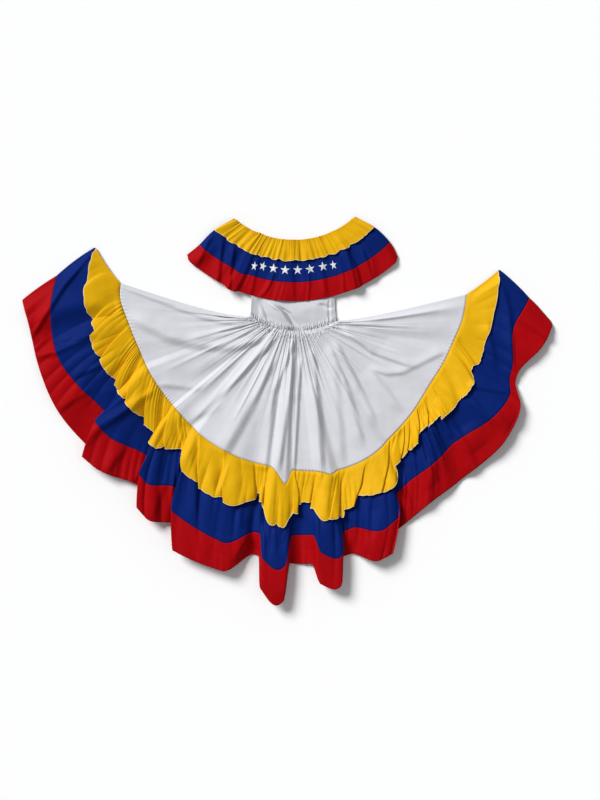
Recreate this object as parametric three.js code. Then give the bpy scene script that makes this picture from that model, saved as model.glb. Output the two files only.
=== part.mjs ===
// Venezuelan folk dress, laid flat on its back. Millimetres, +Z up.
// +X runs to the right of the laid dress, +Y from the hem to the neckline.
// The front lies on the back. Long folds run out of the waist to the hem.
import * as THREE from 'three';

// Cloth and seams.
const CLOTH = 1.6;
const SEAM = 0.3;
const LAYER = 2.5;
const STAR_CLOTH = 1.0;

// Heights of the middle of each wall above the surface the dress lies on.
const ON_FLOOR = CLOTH / 2;
const SECOND = ON_FLOOR + CLOTH + 0.5;
const FRONT_SKIRT = SECOND + CLOTH + 0.8;
const FRONT_HEM = ON_FLOOR + CLOTH + 0.9;
const BODICE_BACK = SECOND + CLOTH + 0.5;
const BODICE_FRONT = BODICE_BACK + CLOTH + 0.7;
const NECK_RISE = 3.4;
const FRONT_NECK = BODICE_FRONT + CLOTH + NECK_RISE;
const SLEEVE_DROP = FRONT_NECK - SECOND - CLOTH - 1.2;

// How far the hidden back stays inside the front's outline: in millimetres at the
// hems, in parts of the skirt's turn, and in parts of the neck's length at its ends.
const BACK_INSET = 14;
const BACK_SHRINK = 0.992;
const NECK_BACK_END = 0.012;

// Centre of the skirt's rings, at the waist, and of the neckline's rings.
const WAIST = { x: 14, y: 294 };
const NECK = { x: 18, y: 917 };

// Waist seam, from the left end to the right end, with its sag in the middle.
const WAIST_SEAM = { left: [-136.5, 325], right: [168, 308], sag: 42 };

// The skirt's two top edges sag between the waist and the white panel's edge, in
// millimetres. fade: over how many degrees of turn this dies away.
const TOP_SAG = { left: 18, right: 11, fade: 14 };

// Skirt sections. turn: direction of the section at the hem, in degrees.
// seamTurn: the same at the white panel's edge. The other columns are the
// distances of its rings from the waist's centre. swing turns the ruffle's edge.
const SECTIONS = [
  { turn: 174.7, seamTurn: 166.3, white: 620, yellow: 742, blue: 843, red: 950, swing: -11 },
  { turn: 180.5, seamTurn: 171.0, white: 612, yellow: 735, blue: 847, red: 920, swing: -4 },
  { turn: 190.0, seamTurn: 178.5, white: 578, yellow: 690, blue: 830, red: 898, swing: -1 },
  { turn: 200.0, seamTurn: 186.0, white: 552, yellow: 676, blue: 778, red: 874, swing: 0 },
  { turn: 210.0, seamTurn: 193.0, white: 536, yellow: 645, blue: 727, red: 835, swing: 0 },
  { turn: 226.0, seamTurn: 211.0, white: 508, yellow: 600, blue: 686, red: 777, swing: 0 },
  { turn: 239.5, seamTurn: 223.0, white: 500, yellow: 585, blue: 700, red: 804, swing: 0 },
  { turn: 260.0, seamTurn: 257.0, white: 500, yellow: 604, blue: 735, red: 812, swing: 0 },
  { turn: 272.0, seamTurn: 274.0, white: 512, yellow: 626, blue: 735, red: 836, swing: 0 },
  { turn: 284.0, seamTurn: 291.0, white: 535, yellow: 640, blue: 740, red: 826, swing: 0 },
  { turn: 296.0, seamTurn: 312.0, white: 522, yellow: 600, blue: 690, red: 806, swing: 0 },
  { turn: 308.0, seamTurn: 323.0, white: 520, yellow: 592, blue: 680, red: 786, swing: 0 },
  { turn: 324.0, seamTurn: 336.0, white: 524, yellow: 620, blue: 712, red: 812, swing: 0 },
  { turn: 338.0, seamTurn: 347.0, white: 548, yellow: 650, blue: 770, red: 828, swing: 0 },
  { turn: 348.0, seamTurn: 355.0, white: 570, yellow: 676, blue: 782, red: 806, swing: 1 },
  { turn: 355.5, seamTurn: 362.0, white: 596, yellow: 702, blue: 772, red: 880, swing: 3 },
  { turn: 360.9, seamTurn: 370.1, white: 620, yellow: 749, blue: 834, red: 914, swing: 9 },
];

// Long folds, a row each, in degrees of turn at the hem. A short flank is a
// sharp edge that leans over its foot. reach columns push the rings outwards.
const FOLDS = [
  { name: 'left side', left: 174.2, right: 184, rise: 3, fall: 5, lift: 13, lean: 0,
    from: 1.0, white: 0, yellow: 0, blue: 0, red: 0 },
  { name: 'left panel', left: 184, right: 209, rise: 10, fall: 9, lift: 15, lean: 0,
    from: 0.6, white: 0, yellow: 0, blue: 0, red: 0 },
  { name: 'first left', left: 211.2, right: 227, rise: 1.4, fall: 11, lift: 32, lean: 0.6,
    from: 0.5, white: 0, yellow: 10, blue: 50, red: 42 },
  { name: 'second left', left: 228.6, right: 240, rise: 1.4, fall: 7, lift: 34, lean: 0.5,
    from: 0.4, white: 0, yellow: 46, blue: 62, red: 58 },
  { name: 'third left', left: 240.8, right: 260.6, rise: 1.4, fall: 6.5, lift: 36, lean: 0.3,
    from: 0.0, white: 2, yellow: 54, blue: 70, red: 84 },
  { name: 'middle', left: 261.5, right: 269.4, rise: 1.5, fall: 1.2, lift: 42, lean: 0,
    from: 0.0, white: 54, yellow: 94, blue: 120, red: 154 },
  { name: 'first right', left: 274.6, right: 282.2, rise: 1.5, fall: 1.5, lift: 36, lean: 0,
    from: 0.0, white: 14, yellow: 56, blue: 88, red: 102 },
  { name: 'second right', left: 284.2, right: 294.8, rise: 6, fall: 1.5, lift: 32, lean: 0.4,
    from: 0.2, white: 4, yellow: 46, blue: 66, red: 60 },
  { name: 'third right', left: 299, right: 319, rise: 9, fall: 7, lift: 17, lean: 0,
    from: 0.6, white: 0, yellow: 0, blue: 8, red: 0 },
  { name: 'fourth right', left: 318, right: 346, rise: 14, fall: 6, lift: 24, lean: 0,
    from: 0.5, white: 0, yellow: 12, blue: 22, red: 22 },
  { name: 'right side', left: 347, right: 361.4, rise: 6, fall: 3, lift: 15, lean: 0,
    from: 0.8, white: 0, yellow: 0, blue: 0, red: 0 },
];

// A flank narrower than this many degrees is sharp. FLANK_SPREAD widens it
// towards the waist, where the cloth turns more softly.
const SHARP = 3;
const FLANK_SPREAD = 1.0;
// Between two sharp flanks a fold is rounded. flat: what is left of it at the flanks,
// late: above 1 the roundness moves to the right.
const ROUND_IN_HEIGHT = { flat: 0.7, late: 1.15 };
const ROUND_IN_REACH = { flat: 0.6, late: 1.5 };
const ROUND_AT_WHITE_EDGE = { flat: 0, late: 2.6 };

// Gathers run out of the waist seam and die away before the white panel's edge.
const WAIST_GATHERS = { count: 36, height: 5.5, reach: 0.75 };
// Waves of the yellow ruffles: the free edge rises and pushes out in each.
// height in millimetres, out in parts of the way to the next ring.
const SKIRT_RUFFLE = { count: 44, height: 9, out: 0.17 };
const NECK_RUFFLE = { count: 27, height: 6, out: 0.16 };
// Columns of the walls: how many a wave takes, how far apart the even ones are in
// degrees, and the least distance between a wave's column and an even one.
const STEPS_PER_WAVE = 4;
const SKIRT_STEP = 3.4;
const NECK_STEP = 3.6;
const SKIRT_BACK_STEPS = 34;
const NECK_BACK_STEPS = 20;
const SKIRT_APART = 0.42;
const NECK_APART = 0.005;
// Short steps across and along a surface, over which its direction out is found.
const SKIRT_SLOPE = { across: 0.12, along: 0.004 };
const NECK_SLOPE = { across: 0.002, along: 0.004 };
const BODICE_SLOPE = { across: 0.02, along: 0.02 };

// Neck flounce: ring radii, and the directions of its two ends at each ring.
const NECK_RINGS = [
  { ring: 0, radius: 325, from: 230.4, to: 311.5 },
  { ring: 1, radius: 398, from: 226.4, to: 315.2 },
  { ring: 2, radius: 474, from: 226.0, to: 315.3 },
  { ring: 3, radius: 540, from: 225.3, to: 313.5 },
];
// Folds of the neck flounce, in parts of its length.
const NECK_FOLDS = [
  { left: -0.02, right: 0.10, rise: 0.05, fall: 0.06, lift: 7, out: 2 },
  { left: 0.20, right: 0.275, rise: 0.024, fall: 0.024, lift: 17, out: 8 },
  { left: 0.36, right: 0.56, rise: 0.10, fall: 0.10, lift: 4, out: 0 },
  { left: 0.74, right: 0.81, rise: 0.045, fall: 0.02, lift: 12, out: 3 },
  { left: 0.88, right: 1.02, rise: 0.07, fall: 0.05, lift: 7, out: 0 },
];

// Bodice: half width down from the neckline, and how far it puffs up.
const BODICE = [
  { down: 0.0, half: 211, puff: 0 },
  { down: 0.3, half: 176, puff: 0 },
  { down: 0.6, half: 151, puff: 1 },
  { down: 0.8, half: 146, puff: 9 },
  { down: 1.0, half: 149, puff: 0 },
];
const BODICE_CENTRE = 16;
// Bodice folds run slanting down to the waist.
const BODICE_FOLDS = [
  { across: -0.42, slant: 0.42, width: 0.16, height: 5 },
  { across: -0.80, slant: 0.30, width: 0.14, height: 3 },
  { across: 0.88, slant: 0.02, width: 0.08, height: 4 },
];

// Stars on the neck's blue band: direction from the neckline's centre, tilt,
// and how much a fold narrows each one.
const STAR = { radius: 18.5, inner: 0.42, from: 431 };
const STARS = [
  { turn: 251.8, tilt: -8, narrow: 0.66, out: 8 },
  { turn: 255.6, tilt: 6, narrow: 0.8, out: 0 },
  { turn: 260.6, tilt: -4, narrow: 0.95, out: 0 },
  { turn: 266.0, tilt: 0, narrow: 1, out: 1 },
  { turn: 271.8, tilt: 3, narrow: 1, out: 0 },
  { turn: 277.6, tilt: -5, narrow: 1, out: 0 },
  { turn: 283.6, tilt: 4, narrow: 0.95, out: 0 },
  { turn: 288.4, tilt: 8, narrow: 0.7, out: 5 },
];

const COLOURS = {
  white: 0xdcdee6, yellow: 0xf2b40c, blue: 0x14378c, red: 0xc4101e, star: 0xf2f2f2,
};

const clamp = (x, lo = 0, hi = 1) => Math.min(hi, Math.max(lo, x));
const mix = (a, b, f) => a + (b - a) * f;
const smooth = (x) => clamp(x) ** 2 * (3 - 2 * clamp(x));
const radians = (degrees) => degrees * Math.PI / 180;

// A column of a table read between its rows, as a curve through them.
function readColumn(table, key, column, at) {
  const last = table.length - 1;
  let i = table.findIndex((row) => row[key] > at) - 1;
  i = i < 0 ? (at < table[0][key] ? 0 : last - 1) : i;
  const slope = (j) => {
    const a = table[Math.max(j - 1, 0)];
    const b = table[Math.min(j + 1, last)];
    return (b[column] - a[column]) / (b[key] - a[key]);
  };
  const span = table[i + 1][key] - table[i][key];
  const f = clamp((at - table[i][key]) / span);
  const start = table[i][column];
  const end = table[i + 1][column];
  const g = f * f * (3 - 2 * f);
  const h0 = f * (1 - f) ** 2 * span * slope(i);
  const h1 = f * f * (f - 1) * span * slope(i + 1);
  return mix(start, end, g) + h0 + h1;
}

// Height of a fold, 0 to 1, across its two flanks. wide: how much wider a
// sharp flank is than at the hem.
function foldHeight(fold, at, wide = 1) {
  const rise = smooth((at - fold.left) / (fold.rise * (fold.rise < SHARP ? wide : 1)));
  const fall = smooth((fold.right - at) / (fold.fall * (fold.fall < SHARP ? wide : 1)));
  return rise * fall;
}

// A fold sharp on both sides is rounded between them, in height or in reach.
function crown(fold, at, { flat, late }) {
  if (fold.rise >= SHARP || fold.fall >= SHARP) return 1;
  const across = clamp((at - fold.left) / (fold.right - fold.left));
  return flat + (1 - flat) * Math.sin(Math.PI * across ** late);
}

// Sharp flanks spread towards the waist.
const flankSpread = (ring) => 1 + FLANK_SPREAD * (1 - smooth(ring - 2));

// Rings of the skirt: 0 waist, 1 white edge, 2 ruffle edge, 3 blue and red, 4 hem.
const RINGS = ['waist', 'white', 'yellow', 'blue', 'red'];
const FIRST = SECTIONS[0].turn;
const LAST = SECTIONS[SECTIONS.length - 1].turn;

function foldStart(fold, ring) {
  return clamp((ring - fold.from) / (4 - fold.from)) ** 0.6;
}

function waistPoint(turn) {
  const seamTurn = readColumn(SECTIONS, 'turn', 'seamTurn', turn);
  const f = (seamTurn - SECTIONS[0].seamTurn)
    / (SECTIONS[SECTIONS.length - 1].seamTurn - SECTIONS[0].seamTurn);
  const x = mix(WAIST_SEAM.left[0], WAIST_SEAM.right[0], f);
  const y = mix(WAIST_SEAM.left[1], WAIST_SEAM.right[1], f);
  return [x, y - WAIST_SEAM.sag * (1 - (2 * f - 1) ** 2), f];
}

// Radius of a ring with the folds' reach, read between whole rings.
function ringRadius(turn, ring, folded) {
  const low = clamp(Math.floor(ring), 1, 3);
  const at = (r) => {
    let radius = readColumn(SECTIONS, 'turn', RINGS[r], turn);
    if (folded) {
      const round = r === 1 ? ROUND_AT_WHITE_EDGE : ROUND_IN_REACH;
      for (const fold of FOLDS) {
        radius += fold[RINGS[r]] * foldHeight(fold, turn, flankSpread(ring))
          * crown(fold, turn, round);
      }
    }
    return radius;
  };
  return mix(at(low), at(low + 1), ring - low);
}

// Direction of the cloth at a ring: it swirls from the seam's to the hem's.
function ringTurn(turn, ring, folded) {
  const seam = ringRadius(turn, 1, false);
  const hem = ringRadius(turn, 4, false);
  const part = (ringRadius(turn, ring, false) - seam) / (hem - seam);
  const swing = readColumn(SECTIONS, 'turn', 'swing', turn);
  const near = ring <= 2 ? ring - 1 : Math.max(0, 1 - 0.65 * (ring - 2));
  let angle = mix(readColumn(SECTIONS, 'turn', 'seamTurn', turn), turn, part);
  angle += swing * Math.max(0, ring > 3 ? 0.35 * (4 - ring) : near);
  if (folded) {
    for (const fold of FOLDS) {
      const across = clamp((turn - fold.left) / (fold.right - fold.left));
      const leftLean = fold.rise < SHARP ? -(1 - across) : 0;
      const rightLean = fold.fall < SHARP ? across : 0;
      const lean = fold.lean * (leftLean + rightLean);
      angle += lean * foldHeight(fold, turn, flankSpread(ring)) * smooth((ring - 1.6) / 1.6);
    }
  }
  return angle;
}

function atWaistCentre(angle, radius, z) {
  const a = radians(angle);
  return new THREE.Vector3(
    WAIST.x + radius * Math.cos(a), WAIST.y + radius * Math.sin(a), z);
}

// Uneven gathers at the waist: two waves of unlike pace, never below the cloth.
function gatherHeight(f) {
  const paced = f + 0.012 * Math.sin(19 * f) + 0.008 * Math.sin(41 * f + 1);
  const wave = 0.5 + 0.5 * Math.sin(2 * Math.PI * WAIST_GATHERS.count * paced);
  return wave * (0.65 + 0.35 * Math.sin(11 * f + 2));
}

// How far a top edge sags at a part of the way from the waist, most near the waist.
function topSag(turn, part) {
  const left = TOP_SAG.left * smooth(1 - (turn - FIRST) / TOP_SAG.fade);
  const right = TOP_SAG.right * smooth(1 - (LAST - turn) / TOP_SAG.fade);
  return (left + right) * Math.sin(Math.PI * Math.max(part, 0) ** 0.6);
}

// The front's sides drop to meet the back at the side fold.
function sideDrop(turn) {
  return 1 - smooth(Math.min(turn - FIRST, LAST - turn) / 2.5);
}

// Middle of the front skirt's wall. turn: section, ring: 0 at the waist to 4.
function frontSkirt(turn, ring) {
  let lift = 0;
  for (const fold of FOLDS) {
    lift += fold.lift * foldHeight(fold, turn, flankSpread(ring)) * foldStart(fold, ring)
      * crown(fold, turn, ROUND_IN_HEIGHT);
  }
  const base = mix(FRONT_SKIRT, FRONT_HEM, smooth(ring - 2));
  const under = smooth((ring - 0.5) / 0.4) * (1 - smooth((ring - 2.1) / 0.3));
  const back = mix(ON_FLOOR, SECOND, under);
  const side = sideDrop(turn);
  let z = mix(base + lift, back + CLOTH + 0.5 + lift * 0.6, side);
  const edge = atWaistCentre(
    ringTurn(turn, Math.max(ring, 1), true), ringRadius(turn, Math.max(ring, 1), true), z);
  if (ring >= 1) return edge;
  const [x, y, f] = waistPoint(turn);
  const fade = Math.max(0, 1 - ring / WAIST_GATHERS.reach) * smooth(ring * 12 + 0.3);
  z += WAIST_GATHERS.height * gatherHeight(f) * fade * (1 - side);
  return new THREE.Vector3(mix(x, edge.x, ring), mix(y, edge.y, ring) - topSag(turn, ring), z);
}

// Wave of a ruffle, 0 to 1, uneven in width.
function ruffleWave(f, count) {
  const paced = f + 0.010 * Math.sin(17 * f + 0.6) + 0.006 * Math.sin(47 * f);
  return 0.5 - 0.5 * Math.cos(2 * Math.PI * count * paced);
}

// Direction out of a surface at a point, the same for two pieces that share a seam.
function outward(surface, u, v, slope) {
  const across = surface(u + slope.across, v).sub(surface(u - slope.across, v)).normalize();
  const along = surface(u, v + slope.along).sub(surface(u, v - slope.along)).normalize();
  return along.cross(across).normalize();
}

// A surface at every pair of a ring and a column, and its directions out there.
function sheetOf(surface, columns, rings, slope) {
  return {
    rows: rings.map((v) => columns.map((u) => surface(u, v))),
    normals: rings.map((v) => columns.map((u) => outward(surface, u, v, slope))),
  };
}

// A wall of even thickness round a sheet of points, rows[i][j], closed all round.
// normals: its directions out, a row each like the points, or straight up.
function wall(rows, thickness, normals) {
  const n = rows.length;
  const m = rows[0].length;
  const points = [];
  for (const side of [1, -1]) {
    rows.forEach((row, i) => row.forEach((point, j) => {
      const normal = normals ? normals[i][j] : new THREE.Vector3(0, 0, 1);
      points.push(point.clone().addScaledVector(normal, side * thickness / 2));
    }));
  }
  const faces = [];
  const at = (side, i, j) => side * n * m + i * m + j;
  for (let i = 0; i < n - 1; i++) {
    for (let j = 0; j < m - 1; j++) {
      faces.push(at(0, i, j), at(0, i + 1, j), at(0, i + 1, j + 1));
      faces.push(at(0, i, j), at(0, i + 1, j + 1), at(0, i, j + 1));
      faces.push(at(1, i, j), at(1, i + 1, j + 1), at(1, i + 1, j));
      faces.push(at(1, i, j), at(1, i, j + 1), at(1, i + 1, j + 1));
    }
  }
  const rim = [];
  for (let j = 0; j < m; j++) rim.push([0, j]);
  for (let i = 1; i < n; i++) rim.push([i, m - 1]);
  for (let j = m - 2; j >= 0; j--) rim.push([n - 1, j]);
  for (let i = n - 2; i > 0; i--) rim.push([i, 0]);
  for (let k = 0; k < rim.length; k++) {
    const [i0, j0] = rim[k];
    const [i1, j1] = rim[(k + 1) % rim.length];
    const [a, b, c, d] = [at(0, i0, j0), at(0, i1, j1), at(1, i1, j1), at(1, i0, j0)];
    // The same diagonal on both sides of a seam, so twisted edges stay parallel.
    if (j1 < j0) faces.push(a, b, d, b, c, d);
    else faces.push(a, b, c, a, c, d);
  }
  const geometry = new THREE.BufferGeometry();
  geometry.setAttribute('position',
    new THREE.Float32BufferAttribute(points.flatMap((p) => [p.x, p.y, p.z]), 3));
  geometry.setIndex(faces);
  return geometry;
}

// Sections where the wall is cut into columns: even steps, and close ones
// on every sharp flank.
function skirtColumns(step) {
  const marks = [];
  const even = Math.round((LAST - FIRST) / step);
  for (let i = 0; i <= even; i++) marks.push({ at: mix(FIRST, LAST, i / even), keep: 0 });
  for (const fold of FOLDS) {
    for (const [start, width, way] of [[fold.left, fold.rise, 1], [fold.right, fold.fall, -1]]) {
      if (width > SHARP) continue;
      for (const part of [-0.15, 0.25, 0.6, 1, 1.45, 2]) {
        marks.push({ at: start + way * width * part, keep: 1 });
      }
    }
  }
  marks[0].keep = 2;
  marks[even].keep = 2;
  marks.sort((a, b) => a.at - b.at);
  const kept = [];
  for (const mark of marks) {
    if (mark.at < FIRST || mark.at > LAST) continue;
    const before = kept[kept.length - 1];
    if (before && mark.at - before.at < step * 0.3 && !(mark.keep && before.keep)) {
      if (mark.keep > before.keep) kept[kept.length - 1] = mark;
      continue;
    }
    kept.push(mark);
  }
  return kept.map((mark) => mark.at);
}

const COLUMNS = skirtColumns(SKIRT_STEP);

// A stretch of the front skirt between two rings, with the seam's gap at its ends.
function frontStretch(rings, gapStart, gapEnd) {
  const { rows, normals } = sheetOf(frontSkirt, COLUMNS, rings, SKIRT_SLOPE);
  openSeam(rows, gapStart, gapEnd, normals);
  return wall(rows, CLOTH, normals);
}

// The white front has more columns, for the waist's gathers. Its lower edge keeps
// to the blue band's columns and is straight between them, so the seam is even.
function whiteFront(rings) {
  const turns = finerColumns(COLUMNS, WAIST_GATHERS.count * STEPS_PER_WAVE, SKIRT_APART);
  const fine = sheetOf(frontSkirt, turns, rings, SKIRT_SLOPE);
  const band = sheetOf(frontSkirt, COLUMNS, rings, SKIRT_SLOPE);
  openSeam(fine.rows, 1, 0, fine.normals);
  openSeam(band.rows, 0, 1, band.normals);
  const edge = rings.length - 1;
  turns.forEach((turn, k) => {
    const { j, part } = among(COLUMNS, turn);
    for (const key of ['rows', 'normals']) {
      fine[key][edge][k] = band[key][edge][j].clone().lerp(band[key][edge][j + 1], part);
    }
  });
  return wall(fine.rows, CLOTH, fine.normals);
}

// Draws the first and last row back, square to the seam, by half the seam's gap.
function openSeam(rows, gapStart, gapEnd, normals) {
  const last = rows.length - 1;
  const draw = (edge, inner) => {
    const ways = rows[edge].map((point, j) => {
      const before = point.clone().sub(rows[edge][Math.max(j - 1, 0)]).normalize();
      const after = rows[edge][Math.min(j + 1, rows[edge].length - 1)].clone()
        .sub(point).normalize();
      const along = before.add(after);
      const both = j > 0 && j < rows[edge].length - 1;
      const bend = both ? Math.max(along.length() / 2, 0.4) : 1;
      const normal = normals ? normals[edge][j] : new THREE.Vector3(0, 0, 1);
      const way = along.normalize().cross(normal).normalize();
      const inward = rows[inner][j].clone().sub(point);
      return way.multiplyScalar(Math.sign(way.dot(inward)) * SEAM / 2 / bend);
    });
    rows[edge].forEach((point, j) => point.add(ways[j]));
  };
  if (gapStart) draw(0, 1);
  if (gapEnd) draw(last, last - 1);
}

// The ruffle lies close in the foot of each sharp flank, where its waves have no room.
function calm(turn) {
  let room = 1;
  for (const fold of FOLDS) {
    const left = fold.rise < SHARP ? (turn - fold.left - 0.4) / 1.7 : 9;
    const right = fold.fall < SHARP ? (turn - fold.right + 0.4) / 1.7 : 9;
    room *= 1 - 0.95 * Math.exp(-Math.min(left * left, right * right));
  }
  return room;
}

// Where a value falls among columns: the one before it, and the part of the way on.
function among(columns, u) {
  const next = columns.findIndex((column) => column > u);
  const j = clamp(next < 0 ? columns.length : next - 1, 0, columns.length - 2);
  return { j, part: clamp((u - columns[j]) / (columns[j + 1] - columns[j])) };
}

// Point and direction out of a wall's facets between two of its columns.
function onColumns(surface, columns, u, v, slope) {
  const { j, part } = among(columns, u);
  const point = surface(columns[j], v).lerp(surface(columns[j + 1], v), part);
  const normal = outward(surface, columns[j], v, slope)
    .lerp(outward(surface, columns[j + 1], v, slope), part).normalize();
  return { point, normal };
}

// Middle of the yellow ruffle: the blue band's points moved out, with its waves.
function skirtRuffle(turn, ring) {
  const f = (turn - FIRST) / (LAST - FIRST);
  const free = Math.max(0, ring - 1) ** 1.4;
  const wave = ruffleWave(f, SKIRT_RUFFLE.count) * (1 - 0.7 * sideDrop(turn)) * calm(turn);
  const out = (wave - 0.5) * SKIRT_RUFFLE.out * free;
  const { point, normal } = onColumns(frontSkirt, COLUMNS, turn, ring + out, SKIRT_SLOPE);
  return point.addScaledVector(normal, LAYER + SKIRT_RUFFLE.height * wave * free);
}

// The columns of the cloth below, and more between them for the ruffle's waves.
function finerColumns(columns, count, apart) {
  const first = columns[0];
  const last = columns[columns.length - 1];
  const extra = [];
  for (let i = 1; i < count; i++) {
    const at = mix(first, last, i / count);
    if (columns.every((column) => Math.abs(column - at) > apart)) extra.push(at);
  }
  return [...columns, ...extra].sort((x, y) => x - y);
}

// The yellow ruffle of the skirt's front lies on the blue band.
function frontRuffle() {
  const turns = finerColumns(COLUMNS, SKIRT_RUFFLE.count * STEPS_PER_WAVE, SKIRT_APART);
  const { rows, normals } = sheetOf(skirtRuffle, turns, [1.004, 1.5, 2], SKIRT_SLOPE);
  return wall(rows, CLOTH, normals);
}

// The back of the skirt is pressed flat, just inside the front's outline.
function backSkirt(turn, ring, z) {
  const inset = BACK_INSET * smooth(ring - 1);
  const middle = mix(FIRST, LAST, 0.5);
  const inner = middle + (turn - middle) * BACK_SHRINK;
  const edge = atWaistCentre(ringTurn(inner, Math.max(ring, 1), false),
    ringRadius(inner, Math.max(ring, 1), false) - inset, z);
  if (ring >= 1) return edge;
  const [x, y] = waistPoint(inner);
  return new THREE.Vector3(mix(x, edge.x, ring), mix(y, edge.y, ring) - topSag(turn, ring), z);
}

function backStretch(rings, heights, gapStart, gapEnd) {
  const turns = Array.from({ length: SKIRT_BACK_STEPS + 1 }, (_, i) =>
    mix(FIRST, LAST, i / SKIRT_BACK_STEPS));
  const rows = rings.map((ring, k) => turns.map((turn) => backSkirt(turn, ring, heights[k])));
  openSeam(rows, gapStart, gapEnd);
  return wall(rows, CLOTH);
}

// Middle of the neck flounce's wall. f: 0 left end to 1 right end, ring: 0 to 3.
function frontNeck(f, ring) {
  const radius = readColumn(NECK_RINGS, 'ring', 'radius', ring);
  const from = readColumn(NECK_RINGS, 'ring', 'from', ring);
  const to = readColumn(NECK_RINGS, 'ring', 'to', ring);
  const start = clamp(ring / 3) ** 0.7;
  let lift = 0;
  let out = 0;
  for (const fold of NECK_FOLDS) {
    const height = foldHeight(fold, f);
    lift += fold.lift * height * start;
    out += fold.out * height * start;
  }
  const side = smooth(1 - Math.min(f, 1 - f) / 0.03);
  const over = 3 * smooth(ring - 1.6) * smooth((0.5 - Math.abs(f - 0.5)) / 0.3);
  // It is sewn to the bodice at the neckline, and its sleeve ends lie on the back.
  const seat = (NECK_RISE - 0.3) * (1 - smooth(ring / 0.7));
  const sleeve = smooth((0.2 - Math.min(f, 1 - f)) / 0.17) * smooth((ring - 1.2) / 1.2);
  const base = FRONT_NECK + over - seat - SLEEVE_DROP * sleeve;
  return atNeck(mix(from, to, f), radius + out, base + lift * (1 - 0.6 * side));
}

function atNeck(angle, radius, z) {
  const a = radians(angle);
  return new THREE.Vector3(NECK.x + radius * Math.cos(a), NECK.y + radius * Math.sin(a), z);
}

function neckColumns() {
  const marks = [];
  const even = Math.round((NECK_RINGS[3].to - NECK_RINGS[3].from) / NECK_STEP);
  for (let i = 0; i <= even; i++) marks.push(i / even);
  for (const fold of NECK_FOLDS) {
    for (const [start, width, way] of [[fold.left, fold.rise, 1], [fold.right, fold.fall, -1]]) {
      if (width > 0.03) continue;
      for (const part of [0, 0.35, 0.65, 1]) marks.push(start + way * width * part);
    }
  }
  const sorted = marks.filter((f) => f >= 0 && f <= 1).sort((a, b) => a - b);
  return sorted.filter((f, i) => i === 0 || f - sorted[i - 1] > 0.004);
}

const NECK_COLUMNS = neckColumns();

function neckStretch(rings, gapStart, gapEnd) {
  const { rows, normals } = sheetOf(frontNeck, NECK_COLUMNS, rings, NECK_SLOPE);
  openSeam(rows, gapStart, gapEnd, normals);
  return wall(rows, CLOTH, normals);
}

// Middle of the neck's yellow ruffle, with its waves.
function neckRufflePoint(f, ring) {
  const wave = ruffleWave(f, NECK_RUFFLE.count);
  const free = 0.35 + 0.65 * ring;
  const out = (wave - 0.5) * NECK_RUFFLE.out * ring;
  const lift = LAYER + NECK_RUFFLE.height * wave * free;
  const { point, normal } = onColumns(frontNeck, NECK_COLUMNS, f, ring + out, NECK_SLOPE);
  return point.addScaledVector(normal, lift);
}

function neckRuffle() {
  const columns = finerColumns(NECK_COLUMNS, NECK_RUFFLE.count * STEPS_PER_WAVE, NECK_APART);
  const { rows, normals } = sheetOf(neckRufflePoint, columns, [0, 0.5, 1], NECK_SLOPE);
  return wall(rows, CLOTH, normals);
}

function neckBack(rings, heights, gapStart, gapEnd) {
  const rows = rings.map((ring, k) => Array.from({ length: NECK_BACK_STEPS + 1 }, (_, i) => {
    const f = mix(NECK_BACK_END, 1 - NECK_BACK_END, i / NECK_BACK_STEPS);
    const from = readColumn(NECK_RINGS, 'ring', 'from', ring);
    const to = readColumn(NECK_RINGS, 'ring', 'to', ring);
    const radius = readColumn(NECK_RINGS, 'ring', 'radius', ring);
    return atNeck(mix(from, to, f), radius - BACK_INSET * smooth(ring), heights[k]);
  }));
  openSeam(rows, gapStart, gapEnd);
  return wall(rows, CLOTH);
}

// The bodice: from the neckline, in at the armholes, to the waist seam.
function bodicePoint(across, down, front) {
  const top = Math.sqrt(NECK_RINGS[0].radius ** 2 - (BODICE[0].half * across) ** 2);
  const f = (across + 1) / 2;
  const waistY = mix(WAIST_SEAM.left[1], WAIST_SEAM.right[1], f)
    - WAIST_SEAM.sag * (1 - across ** 2) + 2 * SEAM;
  const half = readColumn(BODICE, 'down', 'half', down) - (front ? 0 : 3);
  const x = BODICE_CENTRE + across * half;
  const y = mix(NECK.y - top, waistY, down);
  const drop = smooth((down - 0.6) / 0.38);
  if (!front) return new THREE.Vector3(x, y, mix(BODICE_BACK, ON_FLOOR, drop));
  const puff = readColumn(BODICE, 'down', 'puff', down) * (1 - across ** 4);
  let fold = 0;
  for (const row of BODICE_FOLDS) {
    const off = (across - row.across - row.slant * (down - 0.8)) / row.width;
    fold += row.height * Math.exp(-off * off) * smooth((down - 0.64) / 0.2);
  }
  const z = mix(BODICE_FRONT, FRONT_SKIRT, drop) + puff + fold * (1 - down ** 8);
  return new THREE.Vector3(x, y, z);
}

function bodice(front) {
  const acrossSteps = front ? 24 : 8;
  const downSteps = front ? 9 : 6;
  const across = Array.from({ length: acrossSteps + 1 }, (_, i) => -1 + 2 * i / acrossSteps);
  const down = Array.from({ length: downSteps + 1 }, (_, i) => i / downSteps);
  const surface = (u, v) => bodicePoint(u, clamp(v), front);
  const { rows, normals } = sheetOf(surface, across, down, BODICE_SLOPE);
  return wall(rows, CLOTH, normals);
}

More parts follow.
